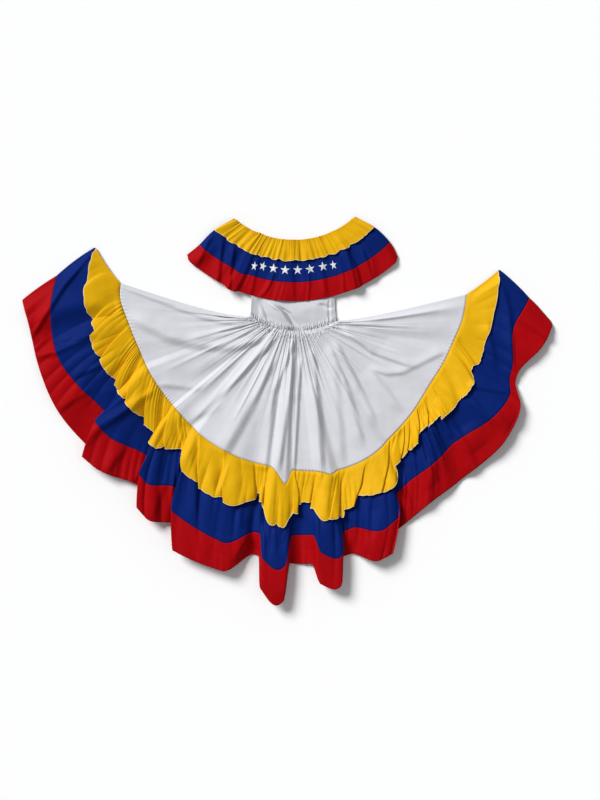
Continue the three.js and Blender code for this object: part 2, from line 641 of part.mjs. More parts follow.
// A point of a triangle-cut sheet of columns and rings, so a star lies on facets.
function onFacets(f, ring, rings) {
  const j = clamp(NECK_COLUMNS.findIndex((c) => c > f) - 1, 0, NECK_COLUMNS.length - 2);
  const i = clamp(rings.findIndex((r) => r > ring) - 1, 0, rings.length - 2);
  const u = (f - NECK_COLUMNS[j]) / (NECK_COLUMNS[j + 1] - NECK_COLUMNS[j]);
  const v = (ring - rings[i]) / (rings[i + 1] - rings[i]);
  const corner = (a, b) => frontNeck(NECK_COLUMNS[j + a], rings[i + b]);
  const near = corner(0, 0).lerp(corner(1, 0), u);
  const far = corner(0, 1).lerp(corner(1, 1), u);
  return near.lerp(far, v);
}

const NECK_BLUE_RINGS = [0, 0.5, 1, 1.5, 2];

function star(row) {
  const radius = STAR.from + row.out;
  const outline = [];
  for (let k = 0; k <= 10; k++) {
    const turn = radians(36 * k + row.tilt);
    const length = k === 10 ? 0 : STAR.radius * (k % 2 ? STAR.inner : 1);
    const away = -Math.cos(turn) * length;
    const side = Math.sin(turn) * length * row.narrow;
    const angle = row.turn + side / radius * 180 / Math.PI;
    const ring = 1 + (radius + away - NECK_RINGS[1].radius)
      / (NECK_RINGS[2].radius - NECK_RINGS[1].radius);
    const from = mix(NECK_RINGS[1].from, NECK_RINGS[2].from, ring - 1);
    const to = mix(NECK_RINGS[1].to, NECK_RINGS[2].to, ring - 1);
    const f = (angle - from) / (to - from);
    outline.push(onFacets(f, ring, NECK_BLUE_RINGS));
  }
  const low = CLOTH / 2 + 0.35;
  const points = [];
  for (const z of [low + STAR_CLOTH, low]) {
    for (const p of outline) points.push(p.x, p.y, p.z + z);
  }
  const faces = [];
  for (let k = 0; k < 10; k++) {
    const next = (k + 1) % 10;
    faces.push(10, next, k, 21, 11 + k, 11 + next);
    faces.push(k, next, 11 + next, k, 11 + next, 11 + k);
  }
  const geometry = new THREE.BufferGeometry();
  geometry.setAttribute('position', new THREE.Float32BufferAttribute(points, 3));
  geometry.setIndex(faces);
  return geometry;
}

const dress = new THREE.Group();

function add(name, geometry, colour, roughness = 0.75) {
  const material = new THREE.MeshStandardMaterial({
    color: COLOURS[colour], roughness, metalness: 0, name: colour });
  const mesh = new THREE.Mesh(geometry, material);
  mesh.name = name;
  dress.add(mesh);
}

add('skirt_white_back', backStretch([0, 1], [ON_FLOOR, ON_FLOOR], 1, 1), 'white');
add('skirt_yellow_back', backStretch([1, 1.94], [ON_FLOOR, ON_FLOOR], 1, 0), 'yellow');
add('skirt_blue_back', backStretch([1, 2.02, 2.2, 3],
  [SECOND, SECOND, ON_FLOOR, ON_FLOOR], 1, 1), 'blue');
add('skirt_red_back', backStretch([3, 4], [ON_FLOOR, ON_FLOOR], 1, 0), 'red');
add('skirt_white_front', whiteFront([0, 0.1, 0.25, 0.5, 0.75, 1]), 'white');
add('skirt_blue_front', frontStretch([1, 1.5, 2, 2.5, 3], 1, 1), 'blue');
add('skirt_red_front', frontStretch([3, 3.5, 4], 1, 0), 'red');
add('skirt_yellow_front', frontRuffle(), 'yellow');
add('neck_yellow_back', neckBack([0, 0.94], [ON_FLOOR, ON_FLOOR], 0, 0), 'yellow');
add('neck_blue_back', neckBack([0, 1.02, 1.2, 2],
  [SECOND, SECOND, ON_FLOOR, ON_FLOOR], 0, 1), 'blue');
add('neck_red_back', neckBack([2, 3], [ON_FLOOR, ON_FLOOR], 1, 0), 'red');
add('bodice_back', bodice(false), 'white');
add('bodice_front', bodice(true), 'white');
add('neck_blue_front', neckStretch(NECK_BLUE_RINGS, 0, 1), 'blue');
add('neck_red_front', neckStretch([2, 2.5, 3], 1, 0), 'red');
add('neck_yellow_front', neckRuffle(), 'yellow');
STARS.forEach((row, i) => add(`star_${i + 1}`, star(row), 'star'));

// The origin is under the middle of the dress, on the surface it lies on.
const box = new THREE.Box3().setFromObject(dress);
const middle = box.getCenter(new THREE.Vector3());
for (const mesh of dress.children) mesh.geometry.translate(-middle.x, -middle.y, -box.min.z);

export default dress;
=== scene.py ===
"""Venezuelan folk dress laid flat on its back: the cloth, its seams, threads and stars."""
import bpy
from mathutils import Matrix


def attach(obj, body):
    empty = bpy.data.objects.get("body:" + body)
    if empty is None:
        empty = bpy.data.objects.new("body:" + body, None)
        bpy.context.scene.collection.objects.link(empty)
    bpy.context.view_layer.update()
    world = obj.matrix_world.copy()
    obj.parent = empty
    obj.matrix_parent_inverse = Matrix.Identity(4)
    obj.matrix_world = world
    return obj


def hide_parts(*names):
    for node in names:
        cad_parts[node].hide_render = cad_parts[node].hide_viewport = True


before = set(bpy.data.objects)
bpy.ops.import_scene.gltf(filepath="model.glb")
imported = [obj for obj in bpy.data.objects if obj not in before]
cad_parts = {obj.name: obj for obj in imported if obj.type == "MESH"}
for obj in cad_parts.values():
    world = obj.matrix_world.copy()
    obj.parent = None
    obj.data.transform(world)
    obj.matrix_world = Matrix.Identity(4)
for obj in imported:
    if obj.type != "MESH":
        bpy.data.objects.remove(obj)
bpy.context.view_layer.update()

from types import SimpleNamespace

import bpy
import numpy as np
from mathutils import Vector
from numpy import arange, clip, concatenate, linspace, maximum, minimum, pi, sin, stack

# Sizes in millimetres, as in the solids. The dress is moved by SHIFT to lie on its origin.
SHIFT = np.array([2.012, 4.970, 0.0])
CLOTH = 1.2
SOLID = 1.6
LAYER = 2.5
ON_FLOOR = SOLID / 2
SECOND = ON_FLOOR + SOLID + 0.5
FRONT_SKIRT = SECOND + SOLID + 0.8
FRONT_HEM = ON_FLOOR + SOLID + 0.9
BODICE_BACK = SECOND + SOLID + 0.5
BODICE_FRONT = BODICE_BACK + SOLID + 0.7
NECK_RISE = 3.4
FRONT_NECK = BODICE_FRONT + SOLID + NECK_RISE
SLEEVE_DROP = FRONT_NECK - SECOND - SOLID - 1.2
BACK_INSET, BACK_SHARE = 14, 0.992
WAIST = (14, 294)
NECK = (18, 917)
WAIST_LEFT, WAIST_RIGHT, WAIST_SAG = (-136.5, 325), (168, 308), 42


def table(columns, rows):
    """A table as one array for each named column."""
    return dict(zip(columns.split(), np.array(rows, float).T))


def records(columns, rows):
    """A table as one record with the named columns for each row."""
    return [SimpleNamespace(**dict(zip(columns.split(), row))) for row in rows]


# Sections of the skirt: direction at the hem and at the seam, and the rings' distances.
SECTIONS = table("turn seam white yellow blue red swing", [
    (174.7, 166.3, 620, 742, 843, 950, -11),
    (180.5, 171, 612, 735, 847, 920, -4),
    (190, 178.5, 578, 690, 830, 898, -1),
    (200, 186, 552, 676, 778, 874, 0),
    (210, 193, 536, 645, 727, 835, 0),
    (226, 211, 508, 600, 686, 777, 0),
    (239.5, 223, 500, 585, 700, 804, 0),
    (260, 257, 500, 604, 735, 812, 0),
    (272, 274, 512, 626, 735, 836, 0),
    (284, 291, 535, 640, 740, 826, 0),
    (296, 312, 522, 600, 690, 806, 0),
    (308, 323, 520, 592, 680, 786, 0),
    (324, 336, 524, 620, 712, 812, 0),
    (338, 347, 548, 650, 770, 828, 0),
    (348, 355, 570, 676, 782, 806, 1),
    (355.5, 362, 596, 702, 772, 880, 3),
    (360.9, 370.1, 620, 749, 834, 914, 9)])
FIRST, LAST = SECTIONS["turn"][0], SECTIONS["turn"][-1]

# Long folds across the skirt, in degrees at the hem; the last four push the rings out.
FOLDS = records("left right rise fall lift lean start white yellow blue red", [
    (174.2, 184, 3, 5, 13, 0, 1, 0, 0, 0, 0),
    (184, 209, 10, 9, 15, 0, 0.6, 0, 0, 0, 0),
    (211.2, 227, 1.4, 11, 32, 0.6, 0.5, 0, 10, 50, 42),
    (228.6, 240, 1.4, 7, 34, 0.5, 0.4, 0, 46, 62, 58),
    (240.8, 260.6, 1.4, 6.5, 36, 0.3, 0, 2, 54, 70, 84),
    (261.5, 269.4, 1.5, 1.2, 42, 0, 0, 54, 94, 120, 154),
    (274.6, 282.2, 1.5, 1.5, 36, 0, 0, 14, 56, 88, 102),
    (284.2, 294.8, 6, 1.5, 32, 0.4, 0.2, 4, 46, 66, 60),
    (299, 319, 9, 7, 17, 0, 0.6, 0, 0, 8, 0),
    (318, 346, 14, 6, 24, 0, 0.5, 0, 12, 22, 22),
    (347, 361.4, 6, 3, 15, 0, 0.8, 0, 0, 0, 0)])
SHARP = 3
FLANK_SPREAD = 1.0

# How flat a fold with two sharp flanks stays at them, and how late it is highest.
ROUND_IN_HEIGHT = (0.7, 1.15)
ROUND_IN_REACH = (0.6, 1.5)
ROUND_AT_WHITE_EDGE = (0, 2.6)

# Sag of the skirt's top edges at the left and right, and its fade in degrees.
SAG_LEFT, SAG_RIGHT, SAG_FADE = 18, 11, 14
TIP_ROUNDING = 10

NECK_RINGS = table("ring radius start end", [
    (0, 325, 230.4, 311.5), (1, 398, 226.4, 315.2),
    (2, 474, 226, 315.3), (3, 540, 225.3, 313.5)])
NECK_FOLDS = records("left right rise fall lift out", [
    (-0.02, 0.1, 0.05, 0.06, 7, 2),
    (0.2, 0.275, 0.024, 0.024, 17, 8),
    (0.36, 0.56, 0.1, 0.1, 4, 0),
    (0.74, 0.81, 0.045, 0.02, 12, 3),
    (0.88, 1.02, 0.07, 0.05, 7, 0)])

BODICE = table("down half puff", [
    (0, 211, 0), (0.3, 176, 0), (0.6, 151, 1), (0.8, 146, 9), (1, 149, 0)])
BODICE_CENTRE = 16
BODICE_LENGTH = 320
BODICE_FOLDS = records("place slant width height", [
    (-0.42, 0.42, 0.16, 5), (-0.8, 0.3, 0.14, 3), (0.88, 0.02, 0.08, 4)])

# Creases of the bodice under the flounce: place across at a point down, slant, bend above
# that point, and how far down they run.
BODICE_CREASES = records("place down slant bend width height until", [
    (-0.13, 0.811, 1.48, 2.2, 0.08, -12, 2), (-0.3, 0.811, 1.48, 2.2, 0.1, 11, 2),
    (-0.66, 0.87, 1.14, 0, 0.07, -8, 2), (0.55, 0.72, 2.5, 0, 0.06, -6, 0.88),
    (-1.05, 0, 0, 0, 0.11, 12, 2), (-0.82, 0, 0, 0, 0.06, -3, 2),
    (0.86, 0, 0, 0, 0.035, -4, 2)])

# Main creases of the white skirt, from and to in millimetres. The cloth falls by height
# across width from a crest left of a downward line, or right of it if width is negative.
CREASE_COLUMNS = "x0 y0 x1 y1 width height"
CREASES = records(CREASE_COLUMNS, [
    (-46, 245, -206, 73, 9, 11), (-206, 73, -318, -35, 14, 10),
    (-52, 160, -120, 20, 12, 9), (-120, 20, -222, -165, 22, 13),
    (21, 235, -42, 66, 9, 11), (-42, 66, -72, -215, 15, 15),
    (21, 182, 4, 38, 7, 8), (4, 38, -28, -200, 11, 11),
    (46, 168, 36, 38, 7, 9), (36, 38, 22, -210, 6, 9),
    (88, 200, 104, 74, 8, 9), (104, 74, 122, -205, 15, 13),
    (150, 214, 206, 91, 9, 9), (206, 91, 262, -112, 14, 9),
    (168, 150, 196, -170, 18, 8),
    (172, 228, 252, 77, 11, 10), (252, 77, 305, -35, 12, 7),
    (294, 133, 392, 10, 13, 7), (190, 276, 290, 196, -8, 9),
    (290, 196, 424, 148, -9, 7), (294, 134, 345, 119, -9, 6),
    (345, 119, 400, 124, -9, 7), (400, 124, 540, 194, -9, 6),
    (-77, 249, -175, 208, 12, 8), (-175, 208, -318, 122, 22, 6),
    (-565, 418, -390, 350, -9, 6), (-390, 350, -285, 312, -9, 6),
    (-285, 312, -168, 288, -9, 6), (-542, 304, -423, 243, -20, 14),
    (-423, 243, -332, 218, -21, 16), (-332, 218, -203, 206, -18, 13),
    (-203, 206, -115, 236, -12, 7), (-448, 82, -315, 66, -9, 7),
    (300, 322, 588, 340, -20, 7),
    (250, 270, 520, 262, -26, 7), (300, 20, 410, -70, 18, 6),
    (-150, 262, -330, 240, 14, 6), (-250, 0, -385, -70, 16, 6)])

# Main creases of the coloured bands, the same way.
BAND_CREASES = records(CREASE_COLUMNS, [
    (-679, 552, -780, 427, 7, 12), (-780, 427, -885, 262, 9, 13),
    (-686, 252, -787, 234, 9, 7), (-660, 147, -735, 112, 9, 8),
    (-840, 250, -900, 180, 12, 7), (-700, 60, -800, -10, 12, 7),
    (-560, -130, -640, -230, 12, 7), (-500, -190, -560, -300, 9, 6),
    (-430, -260, -470, -380, 10, 7), (-322, -235, -316, -490, 9, 14),
    (-213, -315, -216, -470, 7, 8), (-262, -300, -270, -480, 10, 6),
    (-84, -400, -78, -640, 8, 13), (-40, -430, -42, -640, 8, 5),
    (104, -375, 112, -560, 8, 12), (150, -380, 152, -600, 9, 6),
    (290, -284, 284, -490, 8, 10), (240, -300, 232, -470, 10, 6),
    (532, -10, 574, -91, 8, 13), (574, -91, 640, -220, 12, 12),
    (400, -240, 440, -360, 12, 7), (470, -150, 540, -280, 10, 6),
    (630, 77, 768, 52, -9, 7), (600, 40, 720, -60, -14, 7),
    (742, 469, 777, 340, 9, 9), (777, 340, 790, 120, 11, 10),
    (800, 360, 880, 300, -14, 6), (700, 300, 726, 160, 10, 6)])

# Main creases of the neck flounce, the same way.
NECK_CREASES = records(CREASE_COLUMNS, [
    (-226, 590, -244, 436, 9, 10), (-186, 570, -208, 405, 8, 10),
    (-268, 600, -316, 500, 9, 7), (-96, 545, -128, 400, 9, 6),
    (16, 500, 22, 380, 8, 4), (206, 560, 238, 410, 9, 8),
    (262, 560, 300, 450, 9, 6), (120, 520, 138, 400, 9, 5)])

# Pleats of the skirt's ruffle, in degrees at the hem: how wide each flank is, how
# high the pleat stands and how far its edge comes out, in parts of a ring.
PLEATS = records("left right rise fall height out", [
    (174.3, 179, 1.5, 2.5, 4, 0), (178.6, 187.2, 2.5, 3, 8, 0.03),
    (187, 191.4, 1.5, 2.5, 6, 0.02), (191.2, 198.9, 0.5, 4.5, 15, 0.14),
    (198.8, 208.6, 0.6, 6.5, 14, 0.04), (209.2, 215.6, 0.5, 4, 16, 0.08),
    (215.7, 222.8, 0.5, 4.5, 15, 0.05), (223.2, 230.6, 0.5, 4, 17, 0.16),
    (230.3, 236, 0.9, 3.5, 13, 0.08), (235.8, 240.6, 0.8, 2.5, 10, 0.04),
    (240.5, 244, 0.6, 1.5, 8, -0.12), (243.9, 248.5, 0.5, 2.5, 15, 0),
    (248.3, 253.8, 0.5, 3, 14, 0.09), (253.7, 260.3, 0.7, 0.8, 14, 0.11),
    (260.2, 261.6, 0.4, 0.6, 6, -0.06), (261.3, 263.3, 0.3, 0.9, 10, 0.16),
    (263.1, 265.6, 0.4, 1.2, 12, 0.07), (265.3, 269.5, 3.4, 0.3, 10, 0.02),
    (267.7, 269.6, 1.3, 0.3, 6, 0.22),
    (269.6, 271.9, 0.5, 0.6, 7, 0.02), (271.8, 274.2, 0.5, 0.7, 8, -0.06),
    (274.4, 278.4, 0.4, 1.6, 13, 0.12), (278.2, 280.5, 0.6, 0.8, 10, 0),
    (280.2, 284.3, 0.8, 0.4, 13, 0.28), (284.4, 289.7, 2.2, 0.7, 10, -0.06),
    (289.5, 296.6, 3, 0.5, 14, 0.08), (296.6, 300.4, 1.5, 0.8, 9, 0.06),
    (300.2, 306, 2.5, 0.6, 14, 0.12), (306, 312.6, 3, 0.9, 9, -0.14),
    (312.4, 319.6, 3, 0.9, 9, -0.08), (319.4, 329.5, 0.6, 5, 13, 0.06),
    (327.5, 338.4, 5, 3.2, 13, 0.05), (338.2, 342.6, 1.6, 1.6, 5, -0.2),
    (342.4, 350, 2.5, 4, 6, -0.01),
    (349.5, 361.4, 4, 2, 5, 0)])
FINE_PLEATS = 118

# Pleats swing toward the middle at the seam, in degrees, and draw in between them.
PLEAT_SWING = 6.5
PLEAT_MIDDLE = 267
PLEAT_FAR = 32
BETWEEN_PLEATS = 0.07

# Bending heights: over the knee they near the top and don't pass it.
CLOTH_KNEE, CLOTH_TOP = 36, 48
RUFFLE_KNEE, RUFFLE_TOP = 42, 54

RNG = np.random.default_rng(7)


def mix(a, b, part):
    """From a at part 0 to b at part 1, in a straight line."""
    return a + (b - a) * part


def smooth(x):
    """An S-shaped step from 0 to 1."""
    x = clip(x, 0, 1)
    return x * x * (3 - 2 * x)


def bell(off, width):
    """A bell-shaped curve, 1 in the middle."""
    return np.exp(-(off / width) ** 2)


def ripple(cycles, phase=0):
    """A sine wave of so many cycles."""
    return sin(2 * pi * cycles + phase)


def paired(a, b):
    """Two parameters as arrays of one shape."""
    return np.broadcast_arrays(np.asarray(a, float), np.asarray(b, float))


def read(rows, column, at):
    """A column at a place in the first one: an S-shaped step plus both rows' slopes."""
    keys, values = next(iter(rows.values())), rows[column]
    low = maximum(arange(len(keys)) - 1, 0)
    high = minimum(arange(len(keys)) + 1, len(keys) - 1)
    slopes = (values[high] - values[low]) / (keys[high] - keys[low])
    i = clip(np.searchsorted(keys, at, side="right") - 1, 0, len(keys) - 2)
    span = keys[i + 1] - keys[i]
    f = clip((at - keys[i]) / span, 0, 1)
    step = f * f * (3 - 2 * f)
    return (mix(values[i], values[i + 1], step) + f * (1 - f) ** 2 * span * slopes[i]
            + f * f * (f - 1) * span * slopes[i + 1])


def fold_height(fold, at, wide=1.0):
    """0 to 1 up one flank and down the other; a sharp flank is wide times as wide."""
    rise = fold.rise * (wide if fold.rise < SHARP else 1)
    fall = fold.fall * (wide if fold.fall < SHARP else 1)
    return smooth((at - fold.left) / rise) * smooth((fold.right - at) / fall)


def crown(fold, at, flat, late):
    """A fold with two sharp flanks is rounded between them by half a sine, late to the right."""
    if fold.rise >= SHARP or fold.fall >= SHARP:
        return 1.0
    across = clip((at - fold.left) / (fold.right - fold.left), 0, 1)
    return flat + (1 - flat) * sin(pi * across ** late)


def flank_spread(ring):
    """Sharp flanks are twice as wide up to the ruffle's edge as at the hem."""
    return 1 + FLANK_SPREAD * (1 - smooth(ring - 2))


def ring_radius(turn, ring, folded=True):
    """Distance of a ring from the waist's centre, straight between whole rings."""
    radii = []
    for name in ("white", "yellow", "blue", "red"):
        radius = read(SECTIONS, name, turn)
        rounding = ROUND_AT_WHITE_EDGE if name == "white" else ROUND_IN_REACH
        if folded:
            for fold in FOLDS:
                radius = radius + (getattr(fold, name) * fold_height(fold, turn, flank_spread(ring))
                                   * crown(fold, turn, *rounding))
        radii.append(radius)
    low = clip(np.floor(ring), 1, 3).astype(int)
    return mix(np.choose(low - 1, radii[:3]), np.choose(low - 1, radii[1:]), ring - low)


def ring_turn(turn, ring, folded=True):
    """Direction of the cloth at a ring: from the seam's to the hem's, plus the folds' lean."""
    seam, hem = ring_radius(turn, 1 + 0 * ring, False), ring_radius(turn, 4 + 0 * ring, False)
    part = (ring_radius(turn, ring, False) - seam) / (hem - seam)
    near = np.where(ring <= 2, ring - 1, maximum(0, 1 - 0.65 * (ring - 2)))
    near = np.where(ring > 3, 0.35 * (4 - ring), near)
    angle = mix(read(SECTIONS, "seam", turn), turn, part)
    angle = angle + read(SECTIONS, "swing", turn) * maximum(0, near)
    for fold in FOLDS if folded else []:
        across = clip((turn - fold.left) / (fold.right - fold.left), 0, 1)
        lean = (fold.rise < SHARP) * -(1 - across) + (fold.fall < SHARP) * across
        angle = angle + (fold.lean * lean * fold_height(fold, turn, flank_spread(ring))
                         * smooth((ring - 1.6) / 1.6))
    return angle


def around(centre, angle, radius, z):
    """A point at a direction and distance from a centre."""
    a = np.radians(angle)
    x, y = centre[0] + radius * np.cos(a), centre[1] + radius * sin(a)
    return stack(np.broadcast_arrays(x, y, z), -1)


def waist_jog(f):
    """The shirred waist seam wavers by two crossed sine waves."""
    paced = f + 0.010 * sin(31 * f + 1)
    return 2.2 * ripple(31 * paced) + 1.4 * ripple(57 * f, 2)


def waist_seam(turn):
    """The waist seam: a straight line that sags as a parabola. Also the part along it."""
    seam = SECTIONS["seam"]
    f = (read(SECTIONS, "seam", turn) - seam[0]) / (seam[-1] - seam[0])
    x = mix(WAIST_LEFT[0], WAIST_RIGHT[0], f)
    y = mix(WAIST_LEFT[1], WAIST_RIGHT[1], f) - WAIST_SAG * (1 - (2 * f - 1) ** 2)
    return x, y + waist_jog(f), f


def top_sag(turn, part):
    """The skirt's top edges sag by half a sine of the way's power, most near the waist."""
    left = SAG_LEFT * smooth(1 - (turn - FIRST) / SAG_FADE)
    right = SAG_RIGHT * smooth(1 - (LAST - turn) / SAG_FADE)
    return (left + right) * sin(pi * clip(part, 0, 1) ** 0.6)


def side_drop(turn):
    """1 on the side seams, where the front comes down to the back, and 0 away from them."""
    return 1 - smooth(minimum(turn - FIRST, LAST - turn) / 2.5)


def skirt_form(turn, ring):
    """Front skirt as in its solids: waist to seam straight, then rings; z is the folds' sum."""
    lift = 0
    for fold in FOLDS:
        start = clip((ring - fold.start) / (4 - fold.start), 0, 1) ** 0.6
        lift = lift + (fold.lift * fold_height(fold, turn, flank_spread(ring)) * start
                       * crown(fold, turn, *ROUND_IN_HEIGHT))
    base = mix(FRONT_SKIRT, FRONT_HEM, smooth(ring - 2))
    under = smooth((ring - 0.5) / 0.4) * (1 - smooth((ring - 2.1) / 0.3))
    side = side_drop(turn)
    z = mix(base + lift, mix(ON_FLOOR, SECOND, under) + SOLID + 0.5 + lift * 0.6, side)
    outer = maximum(ring, 1)
    corner = TIP_ROUNDING * (1 - smooth((LAST - turn) / 1.3)) ** 2 * smooth(ring - 3)
    edge = around(WAIST, ring_turn(turn, outer), ring_radius(turn, outer) - corner, z)
    x, y, f = waist_seam(turn)
    part = minimum(ring, 1)[..., None]
    waist = stack([x, y, z], -1)
    paced = f + 0.012 * sin(19 * f) + 0.008 * sin(41 * f + 1)
    wave = (0.5 + 0.5 * ripple(36 * paced)) * (0.65 + 0.35 * sin(11 * f + 2))
    fade = maximum(0, 1 - ring / 0.75) * smooth(ring * 12 + 0.3)
    point = mix(waist, edge, part)
    point[..., 1] -= top_sag(turn, ring)
    point[..., 2] += 5.5 * wave * fade * (1 - side)
    return point


def chance_folds(count, place, drift, **ranges):
    """Folds at chance places, each other column drawn evenly from its range."""
    drawn = [np.sort(RNG.uniform(*place, count)), RNG.normal(0, drift, count)]
    drawn += [RNG.uniform(low, high, count) for low, high in ranges.values()]
    return records(" ".join(["place drift", *ranges]), zip(*drawn))


# Small radial folds: place, drift, width, height, and the rings where they start and end.
SMALL_FOLDS = chance_folds(74, (0.02, 0.98), 0.006, width=(0.003, 0.010), height=(-1.0, 5.0),
                           start=(-0.1, 0.15), end=(0.2, 0.95))
BAND_FOLDS = chance_folds(58, (0.01, 0.99), 0.006, width=(0.003, 0.015), height=(1.0, 17.0),
                          start=(1.1, 2.9), end=(3.4, 4.8))
NECK_SMALL = chance_folds(34, (0.02, 0.98), 0.01, width=(0.006, 0.026), height=(-0.8, 5.0),
                          start=(0.3, 1.6), end=(2.6, 4.2))


def radial_folds(rows, f, ring):
    """Sum of bell-shaped folds that drift along the cloth and fade at both ends."""
    height = 0
    for fold in rows:
        off = f - fold.place - fold.drift * ring
        along = clip((ring - fold.start) / (fold.end - fold.start), 0, 1)
        height = height + fold.height * bell(off, fold.width) * sin(pi * along) ** 0.7
    return height


def rounded_gathers(f, count, sway, seed):
    """Rounded ridges with narrow valleys: the root of a sine's size, uneven in pace."""
    paced = f + sway * sin(23 * f + seed) + 0.5 * sway * sin(61 * f + 2 * seed)
    return np.abs(sin(pi * count * paced)) ** 0.7


def crease_height(rows, x, y):
    """Along each line the cloth falls in an S from a crest that fades far behind it."""
    height = 0
    for c in rows:
        dx, dy = c.x1 - c.x0, c.y1 - c.y0
        length = np.hypot(dx, dy)
        along = ((x - c.x0) * dx + (y - c.y0) * dy) / length ** 2
        off = ((x - c.x0) * dy - (y - c.y0) * dx) / length / c.width
        soft = clip(2.4 * abs(c.width) / length, 0.15, 0.5)
        fade = smooth((along + soft) / (2 * soft)) * smooth((1 + soft - along) / (2 * soft))
        step = smooth((off + 0.9) / 1.8) * bell(maximum(off, 0), 2.6)
        height = height + c.height * fade * step
    return height


def crinkle(f, down, seed):
    """Short crossed crinkles of a shirred edge. down is the distance from the seam in mm."""
    a = ripple(41 * f, 2.2 * sin(down / 4.3 + seed) + seed)
    b = ripple(67 * f, 2 * seed - 1.7 * sin(down / 3.1))
    c = ripple(23 * f, down / 2.6 + 3 * seed)
    return 0.5 * a + 0.35 * b + 0.3 * c


def band_gathers(f, ring):
    """Loose gathers of the flounce: a wide and a close rounded wave that come and go."""
    wide = rounded_gathers(f + 0.0015 * ring, 35, 0.020, 1.3)
    wide = wide * (0.55 + 0.45 * sin(17 * f + 0.9 * ring))
    close = rounded_gathers(f - 0.001 * ring, 83, 0.012, 0.4)
    close = close * clip(0.4 + 0.9 * sin(37 * f + 1.3 * ring + 1), 0, 1)
    return (9.5 * wide + 4 * close) * smooth((ring - 1.1) / 0.9)


def below(z, knee, top):
    """Heights over the knee bend over, so that none passes the top."""
    over = maximum(z - knee, 0)
    return np.where(z > knee, knee + (top - knee) * np.tanh(over / (top - knee)), z)


def waist_gathers(f):
    """Gathers that the bodice and the skirt share."""
    return rounded_gathers(f, 48, 0.020, 2.4)


def waist_edge(f):
    """Height of the gathered edge that the bodice and the skirt share."""
    return 2.2 * waist_gathers(f) + 2.0 * crinkle(f, 0, 0.7)


def rumple(x, y, size, height):
    """Slow uneven swells: a few crossed sine waves."""
    a = sin(x / size + 1.7 * sin(y / size / 1.9)) * sin(y / size / 1.3 + 0.6)
    b = sin((x + y) / size / 0.63 + 2.0) * sin((x - y) / size / 0.81)
    return height * (0.6 * a + 0.4 * b)


def skirt_front(turn, ring):
    """The skirt's form with its gathers, small folds, creases, swells and puckered seams."""
    turn, ring = paired(turn, ring)
    point = skirt_form(turn, ring)
    f = waist_seam(turn)[2]
    x, y = point[..., 0], point[..., 1]
    inside = 1 - side_drop(turn)
    start = smooth(ring / 0.035)
    height = waist_edge(f) * (1 - start)
    height += 3.4 * rounded_gathers(f, 93, 0.006, 1.0) * np.exp(-ring / 0.10) * start
    height += 6.0 * waist_gathers(f) * np.exp(-ring / 0.24) * start
    height += 3.2 * crinkle(f, ring * 500, 0.7) * bell(ring, 0.07) * start
    arms = smooth((minimum(f, 1 - f) - 0.05) / 0.12)
    small = radial_folds(SMALL_FOLDS, f, ring) * smooth(ring * 5)
    calm = mix(0.35, 0.7, smooth((f - 0.4) / 0.3))
    height += small * mix(1, mix(calm, 1, arms), smooth((ring - 0.2) / 0.2))
    height += radial_folds(BAND_FOLDS, f, ring) + band_gathers(f, ring)
    white = smooth((1.3 - ring) / 0.3) * smooth(ring / 0.08)
    height += 1.1 * crease_height(CREASES, x, y) * white
    height += crease_height(BAND_CREASES, x, y) * smooth((ring - 1.05) / 0.3)
    height += rumple(x, y, 46, 1.2) * smooth(ring * 3)
    height += rumple(x + 31, y, 17, 0.5) * smooth(ring * 3)
    height += 0.4 * bell(ring - 0.982, 0.024)
    pucker = ripple(170 * f, 3 * sin(31 * f))
    height += (0.55 + 0.4 * sin(37 * f)) * pucker * bell(ring - 1, 0.035)
    height += 0.45 * pucker * bell(ring - 3, 0.07)
    height += 0.35 * ripple(210 * f, 2) * smooth((ring - 3.8) / 0.2)
    height += 0.5 * bell(ring - 2.97, 0.02)
    point[..., 2] = below(point[..., 2] + maximum(height, -2.0) * inside,
                           CLOTH_KNEE, CLOTH_TOP)
    return point


def outward(surface, u, v, du, dv):
    """Direction out of a surface: across its two short steps."""
    across = surface(u + du, v) - surface(u - du, v)
    along = surface(u, v + dv) - surface(u, v - dv)
    normal = np.cross(along, across)
    return normal / np.linalg.norm(normal, axis=-1, keepdims=True)


def ruffle_wave(f, count):
    """Waves of a ruffle from 0 to 1: a cosine at an uneven pace."""
    paced = f + 0.010 * sin(17 * f + 0.6) + 0.006 * sin(47 * f)
    return 0.5 - 0.5 * np.cos(2 * pi * count * paced)


def pleat_rows(turn):
    """The pleats' sum: height, reach and lean. The steeper flank leans over its foot."""
    height, out, lean = 0, 0, 0
    for pleat in PLEATS:
        up = smooth((turn - pleat.left) / pleat.rise)
        down = smooth((pleat.right - turn) / pleat.fall)
        bump = up * down
        way = np.sign(pleat.rise - pleat.fall)
        edge = pleat.left if way < 0 else pleat.right
        near = bell(turn - edge, 0.35 * (pleat.right - pleat.left))
        height = height + pleat.height * bump
        out = out + (pleat.out + BETWEEN_PLEATS) * bump ** 0.6
        lean = lean + way * bump * near
    return height, out - BETWEEN_PLEATS, lean


